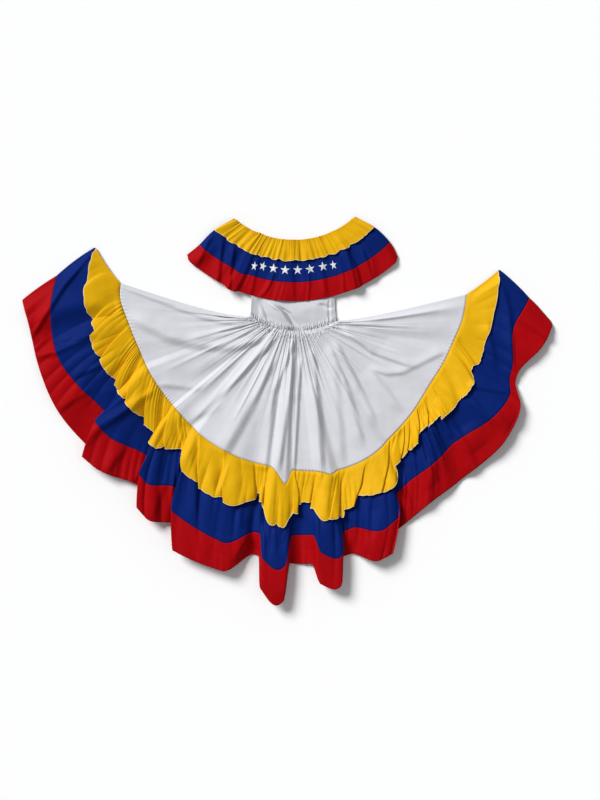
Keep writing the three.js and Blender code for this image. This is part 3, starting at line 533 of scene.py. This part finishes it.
def skirt_ruffle(turn, ring):
    """The band below moved out, with leaning pleats that grow to the lobed free edge."""
    turn, ring = paired(turn, ring)
    free = maximum(0, ring - 1)
    swing = PLEAT_SWING * clip((PLEAT_MIDDLE - turn) / PLEAT_FAR, -1, 1)
    swung = turn + swing * (1 - minimum(free, 1))
    f = (swung - FIRST) / (LAST - FIRST)
    pleat, reach, lean = pleat_rows(swung)
    fine = rounded_gathers(f, FINE_PLEATS, 0.014, 0.5)
    uneven = clip(0.4 + 0.55 * sin(71 * f + 1) + 0.35 * sin(163 * f), 0, 1.2)
    side = 1 - side_drop(turn)
    at = clip(turn + 0.95 * lean * smooth(free * 1.6) * side, FIRST, LAST)
    out = reach * free ** 1.2 + 0.022 * (fine - 0.6) * free
    rise = smooth(free / 0.10)
    height = (0.8 + (LAYER - 0.8) * rise + pleat * free ** 0.7 * (0.3 + 0.7 * side)
              + fine * uneven * (4.8 * np.exp(-free / 0.45) + 0.8) * smooth(free / 0.04) * side)
    normal = outward(skirt_form, at, ring + out, 0.25, 0.02)
    point = skirt_front(at, ring + out) + normal * height[..., None]
    point[..., 2] = below(point[..., 2], RUFFLE_KNEE, RUFFLE_TOP)
    return point


def neck_form(f, ring):
    """Neck flounce as in its solids: rings about one centre, lifted by its folds."""
    radius = read(NECK_RINGS, "radius", ring)
    angle = mix(read(NECK_RINGS, "start", ring), read(NECK_RINGS, "end", ring), f)
    start = clip(ring / 3, 0, 1) ** 0.7
    lift, out = 0, 0
    for fold in NECK_FOLDS:
        height = fold_height(fold, f)
        lift = lift + fold.lift * height * start
        out = out + fold.out * height * start
    side = smooth(1 - minimum(f, 1 - f) / 0.03)
    out = out - 10 * (1 - smooth(minimum(f, 1 - f) / 0.035)) ** 2 * smooth(ring - 2)
    over = 3 * smooth(ring - 1.6) * smooth((0.5 - np.abs(f - 0.5)) / 0.3)
    seat = (NECK_RISE - 0.3) * (1 - smooth(ring / 0.7))
    sleeve = smooth((0.2 - minimum(f, 1 - f)) / 0.17) * smooth((ring - 1.2) / 1.2)
    base = FRONT_NECK + over - seat - SLEEVE_DROP * sleeve
    return around(NECK, angle, radius + out, base + lift * (1 - 0.6 * side))


def neck_front(f, ring):
    """The neck flounce's form with small radial folds and puckered seams."""
    f, ring = paired(f, ring)
    point = neck_form(f, ring)
    side = smooth(minimum(f, 1 - f) / 0.02)
    height = radial_folds(NECK_SMALL, f, ring) * smooth(ring * 2)
    height += crease_height(NECK_CREASES, point[..., 0], point[..., 1]) * smooth(ring - 0.2)
    pucker = ripple(58 * f, 2 * sin(17 * f))
    height += 0.4 * pucker * bell(ring - 2, 0.1)
    height += 0.4 * bell(ring - 1.97, 0.03)
    height += 0.3 * ripple(74 * f) * smooth((ring - 2.8) / 0.2)
    point[..., 2] += maximum(height, -0.8) * side
    return point


def neck_ruffle(f, ring):
    """Yellow ruffle of the neckline: close gathers that open into leaning waves."""
    f, ring = paired(f, ring)
    wave, second = ruffle_wave(f, 13), ruffle_wave(f + 0.02, 29)
    free = 0.30 + 0.70 * ring
    at = clip(f + 0.010 * np.tanh((f - 0.5) * 6) * wave * ring, 0, 1)
    out = (0.09 * (wave - 0.5) * sin(9 * f + 1) + 0.022 * (second - 0.5)) * ring
    uneven = 0.55 + 0.35 * sin(29 * f + 1) + 0.3 * sin(67 * f)
    uneven = uneven * (0.45 + 0.55 * smooth((0.78 - f) / 0.2))
    gathers = rounded_gathers(f + 0.006 * ring * sin(11 * f), 47, 0.028, 0.9) * uneven
    finer = rounded_gathers(f, 101, 0.012, 2.1)
    height = (LAYER + 5.0 * wave * free + 3.4 * second * free
              + 5.4 * gathers * np.exp(-maximum(ring, 0) / 0.9)
              + 1.6 * finer * np.exp(-maximum(ring, 0) / 0.3))
    normal = outward(neck_form, at, maximum(ring + out, 0.02), 0.002, 0.02)
    return neck_front(at, ring + out) + normal * height[..., None]


def bodice_creases(across, down):
    """Bell-shaped creases along slanting lines, which bend above their point."""
    height = 0
    for crease in BODICE_CREASES:
        low = down - crease.down
        line = crease.place + crease.slant * low + crease.bend * minimum(low, 0)
        fade = smooth((crease.until - down) / 0.05)
        height = height + crease.height * bell(across - line, crease.width) * fade
    return height


def bodice(across, down, front):
    """Neckline arc to the waist seam, drawn in at the armholes; the front puffs and creases."""
    across, down = paired(across, down)
    top = np.sqrt(NECK_RINGS["radius"][0] ** 2 - (BODICE["half"][0] * across) ** 2)
    f = (across + 1) / 2
    waist = mix(WAIST_LEFT[1], WAIST_RIGHT[1], f) - WAIST_SAG * (1 - across ** 2) + 0.1
    half = read(BODICE, "half", down) - (0 if front else 3)
    x, y = BODICE_CENTRE + across * half, mix(NECK[1] - top, waist, down)
    y = y + waist_jog(f) * smooth((down - 0.9) / 0.1)
    drop = smooth((down - 0.6) / 0.38)
    back = mix(BODICE_BACK, ON_FLOOR, drop)
    if not front:
        return stack([x, y, back], -1)
    puff = read(BODICE, "puff", down) * (1 - across ** 4)
    fold = 0
    for row in BODICE_FOLDS:
        off = across - row.place - row.slant * (down - 0.8)
        fold = fold + row.height * bell(off, row.width) * smooth((down - 0.64) / 0.2)
    z = mix(BODICE_FRONT, FRONT_SKIRT, drop) + puff + fold * (1 - down ** 8)
    visible = smooth((down - 0.735) / 0.06) * (1 - smooth((down - 0.95) / 0.05))
    z = z + visible * (bodice_creases(across, down) + rumple(x, y, 19, 1.2))
    z = maximum(z, back + 1.8)
    above = (1 - down) * BODICE_LENGTH
    gathered = 3.0 * waist_gathers(f) + 3.2 * crinkle(f, above, 0.7)
    z = z + smooth((down - 0.91) / 0.09) * (waist_edge(f) + smooth(above / 12) * gathered)
    return stack([x, y, z], -1)


def back_skirt(turn, ring, low, high):
    """The pressed back: plain rings a little inside the front, from one height to another."""
    middle = (FIRST + LAST) / 2
    turn = middle + (turn - middle) * BACK_SHARE
    outer = maximum(ring, 1)
    angle = ring_turn(turn, outer, False)
    radius = ring_radius(turn, outer, False) - BACK_INSET * smooth(outer - 1)
    z = mix(high, low, smooth((ring - 2.02) / 0.18)) + 0 * turn
    x, y, f = waist_seam(turn)
    edge, waist = around(WAIST, angle, radius, z), stack([x, y, z], -1)
    point = mix(waist, edge, minimum(ring, 1)[..., None])
    point[..., 1] -= top_sag(turn, ring)
    return point


def back_neck(f, ring, low, high):
    """The flat back of the neck flounce, a little inside the front."""
    radius = read(NECK_RINGS, "radius", ring) - BACK_INSET * smooth(ring)
    f = mix(0.012, 0.988, f)
    angle = mix(read(NECK_RINGS, "start", ring), read(NECK_RINGS, "end", ring), f)
    return around(NECK, angle, radius, mix(high, low, smooth((ring - 1.02) / 0.18)) + 0 * f)


# Materials.

def preset(node, **values):
    """Gives a node's inputs their values by name, with _ for a space."""
    for name, value in values.items():
        node.inputs[name.replace("_", " ")].default_value = value


def new_group(name, given, value, result):
    """An empty node group with one number in and one out, and its two open ends."""
    group = bpy.data.node_groups.new(name, "ShaderNodeTree")
    number = "NodeSocketFloat"
    socket = group.interface.new_socket(name=given, in_out="INPUT", socket_type=number)
    socket.default_value = value
    group.interface.new_socket(name=result, in_out="OUTPUT", socket_type=number)
    start, end = group.nodes.new("NodeGroupInput"), group.nodes.new("NodeGroupOutput")
    return group, start.outputs[0], end.inputs[0]


def math_node(tree, operation, a, b=None):
    """One sum on numbers or sockets."""
    node = tree.nodes.new("ShaderNodeMath")
    node.operation = operation
    for socket, value in zip(node.inputs, (a, b)):
        if isinstance(value, (int, float)):
            socket.default_value = value
        elif value is not None:
            tree.links.new(value, socket)
    return node.outputs[0]


def make_weave():
    """Plain weave: warp and weft sine ridges over and under each other, as a height."""
    group, start, end = new_group("plain weave", "Threads per metre", 1200.0, "Height")
    uv = group.nodes.new("ShaderNodeUVMap")
    uv.uv_map = "cloth"
    split = group.nodes.new("ShaderNodeSeparateXYZ")
    group.links.new(uv.outputs[0], split.inputs[0])
    waves = []
    for axis in (0, 1):
        scaled = math_node(group, "MULTIPLY", split.outputs[axis], start)
        waves.append(math_node(group, "SINE", math_node(group, "MULTIPLY", scaled, pi)))
    crossed = math_node(group, "MULTIPLY", *waves)
    group.links.new(math_node(group, "MULTIPLY", crossed, 0.5), end)
    return group


def make_tone():
    """Uneven dye and handling: two noises from coarse to fine, as a mask from 0 to 1."""
    group, start, end = new_group("uneven dye", "Scale", 4.0, "Mask")
    place = group.nodes.new("ShaderNodeTexCoord")
    coarse, fine = (group.nodes.new("ShaderNodeTexNoise") for _ in range(2))
    group.links.new(start, coarse.inputs["Scale"])
    preset(fine, Scale=60)
    preset(coarse, Detail=4)
    for noise in (coarse, fine):
        group.links.new(place.outputs["Object"], noise.inputs["Vector"])
    a = math_node(group, "MULTIPLY", coarse.outputs["Fac"], 0.75)
    b = math_node(group, "MULTIPLY", fine.outputs["Fac"], 0.25)
    group.links.new(math_node(group, "ADD", a, b), end)
    return group


def make_wrinkle():
    """Fine handling wrinkles: stretched noise, as a height."""
    group, start, end = new_group("fine wrinkles", "Scale", 20.0, "Height")
    place = group.nodes.new("ShaderNodeTexCoord")
    noise = group.nodes.new("ShaderNodeTexNoise")
    preset(noise, Detail=3, Distortion=1.2)
    group.links.new(place.outputs["Object"], noise.inputs["Vector"])
    group.links.new(start, noise.inputs["Scale"])
    ridge = math_node(group, "SUBTRACT", noise.outputs["Fac"], 0.5)
    ridge = math_node(group, "ABSOLUTE", ridge)
    group.links.new(math_node(group, "MULTIPLY", ridge, -1.0), end)
    return group


# Node groups of a cloth, each with its scale: tone, weave and wrinkles.
GROUPS = (make_tone(), 5.0), (make_weave(), 1400.0), (make_wrinkle(), 22.0)
WEAVE_HEIGHT, WRINKLE_HEIGHT = 0.00006, 0.0012


def cloth_material(name, colour, shade, roughness, sheen, shine):
    """Poplin: two close tones by the dye's mask, weave and wrinkles as one height."""
    material = bpy.data.materials.new(name)
    material.use_nodes = True
    tree = material.node_tree
    shader = tree.nodes["Principled BSDF"]
    results = []
    for group, scale in GROUPS:
        node = tree.nodes.new("ShaderNodeGroup")
        node.node_tree = group
        node.inputs[0].default_value = scale
        results.append(node.outputs[0])
    tone, weave, wrinkles = results
    blend = tree.nodes.new("ShaderNodeMix")
    blend.data_type = "RGBA"
    blend.inputs[6].default_value = (*colour, 1)
    blend.inputs[7].default_value = (*shade, 1)
    tree.links.new(tone, blend.inputs[0])
    tree.links.new(blend.outputs[2], shader.inputs["Base Color"])
    rough = tree.nodes.new("ShaderNodeMapRange")
    preset(rough, To_Min=roughness - 0.06, To_Max=roughness + 0.06)
    tree.links.new(tone, rough.inputs["Value"])
    tree.links.new(rough.outputs[0], shader.inputs["Roughness"])
    a = math_node(tree, "MULTIPLY", weave, WEAVE_HEIGHT)
    b = math_node(tree, "MULTIPLY", wrinkles, WRINKLE_HEIGHT)
    bump = tree.nodes.new("ShaderNodeBump")
    preset(bump, Distance=1.0, Strength=0.7)
    tree.links.new(math_node(tree, "ADD", a, b), bump.inputs["Height"])
    tree.links.new(bump.outputs[0], shader.inputs["Normal"])
    preset(shader, Sheen_Weight=sheen, Sheen_Roughness=0.45, Specular_IOR_Level=shine)
    return material


CLOTHS = {
    "white": cloth_material("white poplin", (0.63, 0.635, 0.67), (0.56, 0.565, 0.605),
                            0.6, 0.03, 0.16),
    "yellow": cloth_material("yellow poplin", (0.76, 0.435, 0.002), (0.62, 0.32, 0.001),
                             0.6, 0, 0.10),
    "blue": cloth_material("blue poplin", (0.003, 0.020, 0.172), (0.001, 0.009, 0.092),
                           0.6, 0, 0.04),
    "red": cloth_material("red poplin", (0.44, 0.002, 0.005), (0.25, 0.001, 0.002),
                          0.6, 0, 0.04),
    "star": cloth_material("white star cloth", (0.72, 0.74, 0.78), (0.64, 0.66, 0.71),
                           0.7, 0, 0.16)}
CREAM_THREAD = cloth_material("cream thread", (0.90, 0.72, 0.36), (0.78, 0.58, 0.26), 0.75, 0, 0.16)
WHITE_THREAD = cloth_material("white thread", (0.66, 0.67, 0.70), (0.6, 0.6, 0.64), 0.75, 0, 0.16)
RED_THREAD = cloth_material("red thread", (0.40, 0.004, 0.01), (0.3, 0.003, 0.008), 0.7, 0, 0.1)


# Meshes.

def put_mesh(name, points, quads, material, uv=None, flat=None, triangles=None):
    """Points in millimetres into a named object in metres, with its faces and map."""
    points = (np.asarray(points, float).reshape(-1, 3) + SHIFT) * 0.001
    mesh = bpy.data.meshes.new(name)
    corners = [quads.reshape(-1)]
    sizes = [np.full(len(quads), 4)]
    if triangles is not None:
        corners.append(triangles.reshape(-1))
        sizes.append(np.full(len(triangles), 3))
    corners, sizes = concatenate(corners), concatenate(sizes)
    mesh.vertices.add(len(points))
    mesh.vertices.foreach_set("co", points.reshape(-1).astype(np.float32))
    mesh.loops.add(len(corners))
    mesh.loops.foreach_set("vertex_index", corners.astype(np.int32))
    mesh.polygons.add(len(sizes))
    mesh.polygons.foreach_set(
        "loop_start", concatenate([[0], np.cumsum(sizes)[:-1]]).astype(np.int32))
    mesh.update(calc_edges=True)
    soft = np.ones(len(sizes), bool) if flat is None else ~flat
    mesh.polygons.foreach_set("use_smooth", soft)
    layer = mesh.uv_layers.new(name="cloth")
    where = points[:, :2] if uv is None else np.asarray(uv).reshape(-1, 2)
    layer.data.foreach_set("uv", where[corners].reshape(-1).astype(np.float32))
    mesh.materials.append(material)
    mesh.validate()
    piece = bpy.data.objects.new(name, mesh)
    bpy.context.scene.collection.objects.link(piece)
    return piece


def shell_points(grid):
    """Both faces of the cloth round a grid: its points half a thickness out and in."""
    across, along = np.gradient(grid, axis=1), np.gradient(grid, axis=0)
    normal = np.cross(along, across)
    normal /= np.linalg.norm(normal, axis=-1, keepdims=True) + 1e-12
    return stack([grid + normal * CLOTH / 2, grid - normal * CLOTH / 2])


def cloth(name, grid, material):
    """A closed thin shell on a grid of points, rows[i][j], with a map in metres."""
    n, m = grid.shape[:2]
    sides = shell_points(grid)
    i, j = np.meshgrid(arange(n - 1), arange(m - 1), indexing="ij")
    a = (i * m + j).reshape(-1)
    top = stack([a, a + m, a + m + 1, a + 1], -1)
    under = stack([a, a + 1, a + m + 1, a + m], -1) + n * m
    row, column = arange(n), arange(m)
    rim = concatenate([column, row[1:] * m + m - 1, (n - 1) * m + column[::-1][1:],
                          row[::-1][1:-1] * m])
    after = np.roll(rim, -1)
    edge = stack([rim, after, after + n * m, rim + n * m], -1)
    quads = concatenate([top, under, edge])
    flat = np.zeros(len(quads), bool)
    flat[len(top) + len(under):] = True
    du = np.linalg.norm(np.diff(grid, axis=1), axis=-1).mean(0)
    dv = np.linalg.norm(np.diff(grid, axis=0), axis=-1).mean(1)
    u = concatenate([[0], np.cumsum(du)])[None, :] + np.zeros((n, 1))
    v = concatenate([[0], np.cumsum(dv)])[:, None] + np.zeros((1, m))
    uv = stack([u, v], -1) * 0.001
    return put_mesh(name, sides, quads, material, concatenate([uv, uv]), flat)


def even_path(path, step):
    """A path's points again, evenly spaced along it."""
    length = concatenate([[0], np.cumsum(np.linalg.norm(np.diff(path, axis=0), axis=-1))])
    at = linspace(0, length[-1], max(int(length[-1] / step), 8))
    return stack([np.interp(at, length, path[:, k]) for k in range(3)], -1)


SIDES = 6
TURN = linspace(0, 2 * pi, SIDES, endpoint=False)
BEAD = 0.18
STITCH = 3.4


def thread_line(name, path, radius, material):
    """A beaded thread along a path: a ring of points at each step, closed at both ends."""
    path = even_path(path, max(radius * 2.2, 2.4))
    along = np.gradient(path, axis=0)
    along /= np.linalg.norm(along, axis=-1, keepdims=True)
    side = np.cross(along, [0, 0, 1.0])
    side /= np.linalg.norm(side, axis=-1, keepdims=True) + 1e-9
    up = np.cross(side, along)
    bead = radius * (1 + BEAD * (arange(len(path)) % 2))[:, None, None]
    ring = path[:, None] + bead * (
        np.cos(TURN)[None, :, None] * side[:, None] + sin(TURN)[None, :, None] * up[:, None])
    points = concatenate([ring.reshape(-1, 3), path[:1], path[-1:]])
    last, j = (len(path) - 1) * SIDES, arange(SIDES)
    i = arange(0, last, SIDES)[:, None]
    a, b = i + j, i + (j + 1) % SIDES
    quads = stack([a, a + SIDES, b + SIDES, b], -1).reshape(-1, 4)
    start = stack([0 * j + last + SIDES, j, (j + 1) % SIDES], -1)
    end = stack([0 * j + last + SIDES + 1, last + (j + 1) % SIDES, last + j], -1)
    return put_mesh(name, points, quads, material, triangles=concatenate([start, end]))


def stitches(name, path, up, gap, radius, material):
    """A row of stitches: short flattened six-sided grains along a path, one after another."""
    stations = even_path(path, STITCH + gap)
    lifts = even_path(path + up, STITCH + gap)[:len(stations)]
    stations = stations[:len(lifts)]
    along = np.gradient(stations, axis=0)
    along /= np.linalg.norm(along, axis=-1, keepdims=True)
    rise = lifts - stations
    rise /= np.linalg.norm(rise, axis=-1, keepdims=True) + 1e-9
    side = np.cross(along, rise)
    rings = [(-0.5, 0.45), (-0.3, 1.0), (0.3, 1.0), (0.5, 0.45)]
    local = np.array([[part * STITCH, size * radius * np.cos(a), size * radius * 0.7 * sin(a)]
                      for part, size in rings for a in TURN])
    points = (stations[:, None] + local[None, :, :1] * along[:, None]
              + local[None, :, 1:2] * side[:, None]
              + (local[None, :, 2:] + radius * 0.35) * rise[:, None])
    j, after = arange(SIDES), (arange(SIDES) + 1) % SIDES
    belt = stack([j, after, after + SIDES, j + SIDES], -1)
    caps = [[5, 4, 1, 0], [4, 3, 2, 1], [18, 19, 22, 23], [19, 20, 21, 22]]
    quads = concatenate([belt, belt + SIDES, belt + 2 * SIDES, caps])
    step = arange(len(stations))[:, None, None] * len(local)
    return put_mesh(name, points, (quads[None] + step).reshape(-1, 4), material)


def dense_turns(count):
    """Even sections with nine more of them on each sharp flank."""
    marks = [linspace(FIRST, LAST, count)]
    for fold in FOLDS:
        if fold.rise < SHARP:
            marks.append(fold.left + fold.rise * linspace(-0.2, 2.2, 9))
        if fold.fall < SHARP:
            marks.append(fold.right - fold.fall * linspace(-0.2, 2.2, 9))
    marks = np.sort(concatenate(marks))
    keep = concatenate([[True], np.diff(marks) > 0.06])
    return marks[keep & (marks >= FIRST) & (marks <= LAST)]


def grid(surface, across, down):
    """A surface at every pair of its two parameters."""
    return surface(across[None, :] + 0 * down[:, None], down[:, None] + 0 * across[None, :])


def keep(piece, slot, *nodes):
    """Ties a piece to the body and hides any solid that it replaces; slot is not used."""
    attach(piece, "root")
    if nodes:
        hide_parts(*nodes)
    return piece


def sew(name, surface, across, down, colour, node):
    """A cloth piece on a surface, in its colour, for its solid. Also its grid of points."""
    points = grid(surface, across, down)
    keep(cloth(name, points, CLOTHS[colour]), f"{colour} cloth", node)
    return points


def joined(*spans):
    """Evenly spaced stations in several spans, each starting where the last one ended."""
    parts = [linspace(start, end, count) for start, end, count in spans]
    return concatenate([part[:-1] for part in parts[:-1]] + [parts[-1]])


TURNS = dense_turns(660)
sew("white_skirt_front", skirt_front, TURNS, joined((0, 0.12, 19), (0.12, 0.9996, 48)),
    "white", "skirt_white_front")
sew("blue_skirt_band_front", skirt_front, TURNS, linspace(1.0008, 2.9996, 40),
    "blue", "skirt_blue_front")
sew("red_skirt_band_front", skirt_front, TURNS, linspace(3.0004, 4, 24),
    "red", "skirt_red_front")
ruffle = sew("yellow_skirt_ruffle_front", skirt_ruffle, dense_turns(1360),
             linspace(0.9985, 2, 33), "yellow", "skirt_yellow_front")

LINE = linspace(0, 1, 330)
sew("blue_neck_band_front", neck_front, LINE, linspace(0, 1.9985, 34),
    "blue", "neck_blue_front")
sew("red_neck_band_front", neck_front, LINE, linspace(2.0015, 3, 24),
    "red", "neck_red_front")
neck = sew("yellow_neck_ruffle_front", neck_ruffle, linspace(0, 1, 660),
           linspace(0, 1, 26), "yellow", "neck_yellow_front")

sew("white_bodice_front", lambda across, down: bodice(across, down, True),
    linspace(-1, 1, 400), joined((0, 0.6, 10), (0.6, 1, 70)), "white", "bodice_front")
sew("white_bodice_back", lambda across, down: bodice(across, down, False),
    linspace(-1, 1, 40), linspace(0, 0.9995, 24), "white", "bodice_back")

# The back lies on the floor; a band that passes under a ruffle starts one layer up.
LOW = CLOTH / 2
for name, surface, across, rings, high, colour, node in (
        ("white_skirt_back", back_skirt, (FIRST, LAST, 160), (0.001, 0.9992, 14), LOW,
         "white", "skirt_white_back"),
        ("yellow_skirt_ruffle_back", back_skirt, (FIRST, LAST, 160), (1.001, 1.94, 8), LOW,
         "yellow", "skirt_yellow_back"),
        ("blue_skirt_band_back", back_skirt, (FIRST, LAST, 160), (1.001, 2.9994, 24), SECOND,
         "blue", "skirt_blue_back"),
        ("red_skirt_band_back", back_skirt, (FIRST, LAST, 160), (3.0006, 4, 10), LOW,
         "red", "skirt_red_back"),
        ("yellow_neck_ruffle_back", back_neck, (0, 1, 90), (0, 0.94, 8), LOW,
         "yellow", "neck_yellow_back"),
        ("blue_neck_band_back", back_neck, (0, 1, 90), (0, 1.9985, 22), SECOND,
         "blue", "neck_blue_back"),
        ("red_neck_band_back", back_neck, (0, 1, 90), (2.0015, 3, 8), LOW,
         "red", "neck_red_back")):
    sew(name, lambda u, v: surface(u, v, LOW, high), linspace(*across),
        linspace(*rings), colour, node)

# Threads: cream overlocking on the ruffles' free edges, stitching on seams and hems.
for name, edge, radius in (("cream_edge_of_the_skirt_ruffle", ruffle[-1], 1.25),
                           ("cream_edge_of_the_neck_ruffle", neck[-1], 1.1)):
    keep(thread_line(name, edge, radius, CREAM_THREAD), "hem thread")

SKIRT_LINE, NECK_LINE = dense_turns(1400), linspace(0.004, 0.996, 900)
for name, surface, across, ring, gap, radius, thread, step in (
        ("stitches_of_the_red_skirt_hem", skirt_front, SKIRT_LINE, 3.88, 1.6, 0.5,
         RED_THREAD, 0.1),
        ("stitches_under_the_white_skirt_edge", skirt_front, SKIRT_LINE, 0.985, 1.8, 0.5,
         WHITE_THREAD, 0.1),
        ("stitches_of_the_skirt_bands", skirt_front, SKIRT_LINE, 3.035, 1.6, 0.45,
         RED_THREAD, 0.1),
        ("stitches_of_the_red_neck_hem", neck_front, NECK_LINE, 2.86, 1.6, 0.5,
         RED_THREAD, 0.002),
        ("stitches_of_the_neck_bands", neck_front, NECK_LINE, 2.04, 1.6, 0.45,
         RED_THREAD, 0.002)):
    rings = np.full(len(across), ring)
    up = outward(surface, across, rings, step, 0.01)
    path = surface(across, rings) + up * CLOTH / 2
    keep(stitches(name, path, up, gap, radius, thread), "hem thread")

# Stars: five points on the blue band, each a thin piece of white cloth with sewn edges.
STARS = records("turn tilt narrow out", [
    (251.8, -8, 0.66, 8), (255.6, 6, 0.8, 0), (260.6, -4, 0.95, 0), (266.0, 0, 1, 1),
    (271.8, 3, 1, 0), (277.6, -5, 1, 0), (283.6, 4, 0.95, 0), (288.4, 8, 0.7, 5)])
STAR_RADIUS, STAR_WAIST, STARS_AT = 17.5, 0.39, 431
STAR_STEPS = 60


def star_points(row, size):
    """Outline of a star on the band: straight lines between ten corners, far and near."""
    corner = arange(11)
    reach = np.where(corner % 2, STAR_WAIST, 1.0) * STAR_RADIUS * size
    aim = np.radians(36 * corner + row.tilt)
    steps = arange(STAR_STEPS) * 10 / STAR_STEPS
    side = np.interp(steps, corner, reach * sin(aim))
    away = np.interp(steps, corner, -reach * np.cos(aim))
    radius = STARS_AT + row.out
    angle = row.turn + np.degrees(side * row.narrow / radius)
    inner, outer = NECK_RINGS["radius"][1:3]
    part = (radius + away - inner) / (outer - inner)
    start = mix(*NECK_RINGS["start"][1:3], part)
    end = mix(*NECK_RINGS["end"][1:3], part)
    return (angle - start) / (end - start), 1 + part


for number, row in enumerate(STARS, 1):
    sizes = (0.0, 0.35, 0.7, 0.93, 1.0)
    f, ring = (stack(part) for part in zip(*[star_points(row, size) for size in sizes]))
    base = neck_front(f, ring)
    up = outward(neck_front, f, ring, 0.002, 0.01)
    swell = np.array([1.0, 1.0, 0.95, 0.8, 0.25])[:, None, None]
    over = base + up * (CLOTH / 2 + 0.35 + 1.0 * swell)
    under = base + up * (CLOTH / 2 + 0.2)
    points = concatenate([over[1:].reshape(-1, 3), under[1:].reshape(-1, 3),
                             over[0, :1], under[0, :1]])
    n = STAR_STEPS
    k, after = arange(n), (arange(n) + 1) % n
    quads = [stack([k, n + k, n + after, after], -1) + n * r for r in range(3)]
    quads += [belt[:, ::-1] + 4 * n for belt in quads]
    quads.append(stack([3 * n + k, 7 * n + k, 7 * n + after, 3 * n + after], -1))
    middle = concatenate([stack([0 * k + 8 * n, k, after], -1),
                             stack([0 * k + 8 * n + 1, 4 * n + after, 4 * n + k], -1)])
    star = put_mesh(f"sewn_star_{number}", points, concatenate(quads), CLOTHS["star"],
                    triangles=middle)
    keep(star, "star cloth", f"star_{number}")

# Floor, light and camera.
FAR, UNDER = 30, -0.0006
floor_mesh = bpy.data.meshes.new("floor")
floor_mesh.from_pydata([(-FAR, -FAR, UNDER), (FAR, -FAR, UNDER), (FAR, FAR, UNDER),
                        (-FAR, FAR, UNDER)], [], [(0, 1, 2, 3)])
floor = bpy.data.objects.new("floor", floor_mesh)
floor_paint = bpy.data.materials.new("pale floor")
floor_paint.use_nodes = True
preset(floor_paint.node_tree.nodes["Principled BSDF"], Base_Color=(0.93, 0.93, 0.93, 1),
       Roughness=0.9)
floor_mesh.materials.append(floor_paint)
bpy.context.scene.collection.objects.link(floor)


def soft_sun(name, place, spread, strength):
    """A wide even light from a direction, as softly as a large window."""
    lamp = bpy.data.lights.new(name, "SUN")
    lamp.angle, lamp.energy = np.radians(spread), strength
    light = bpy.data.objects.new(name, lamp)
    light.rotation_mode = "QUATERNION"
    light.rotation_quaternion = Vector(place).to_track_quat("Z", "Y")
    bpy.context.scene.collection.objects.link(light)


soft_sun("window light", (-2.9, 2.7, 3.1), 26, 3.8)
soft_sun("room light", (2.8, -1.8, 3.2), 60, 0.25)
world = bpy.data.worlds.new("studio")
bpy.context.scene.world = world
world.use_nodes = True
preset(world.node_tree.nodes["Background"], Color=(0.96, 0.98, 1.0, 1), Strength=0.27)
bpy.context.scene.view_settings.view_transform = "Standard"

# The camera looks straight down from its height on a view as wide as in the photo, in metres.
HEIGHT, VIEW = 10.0, 2.8
camera_data = bpy.data.cameras.new("camera")
camera_data.sensor_width = 36
camera_data.lens = camera_data.sensor_width * HEIGHT / VIEW
camera_data.clip_end = 60
camera = bpy.data.objects.new("camera", camera_data)
camera.location = (0.042, 0.037, HEIGHT)
bpy.context.scene.collection.objects.link(camera)
bpy.context.scene.camera = camera
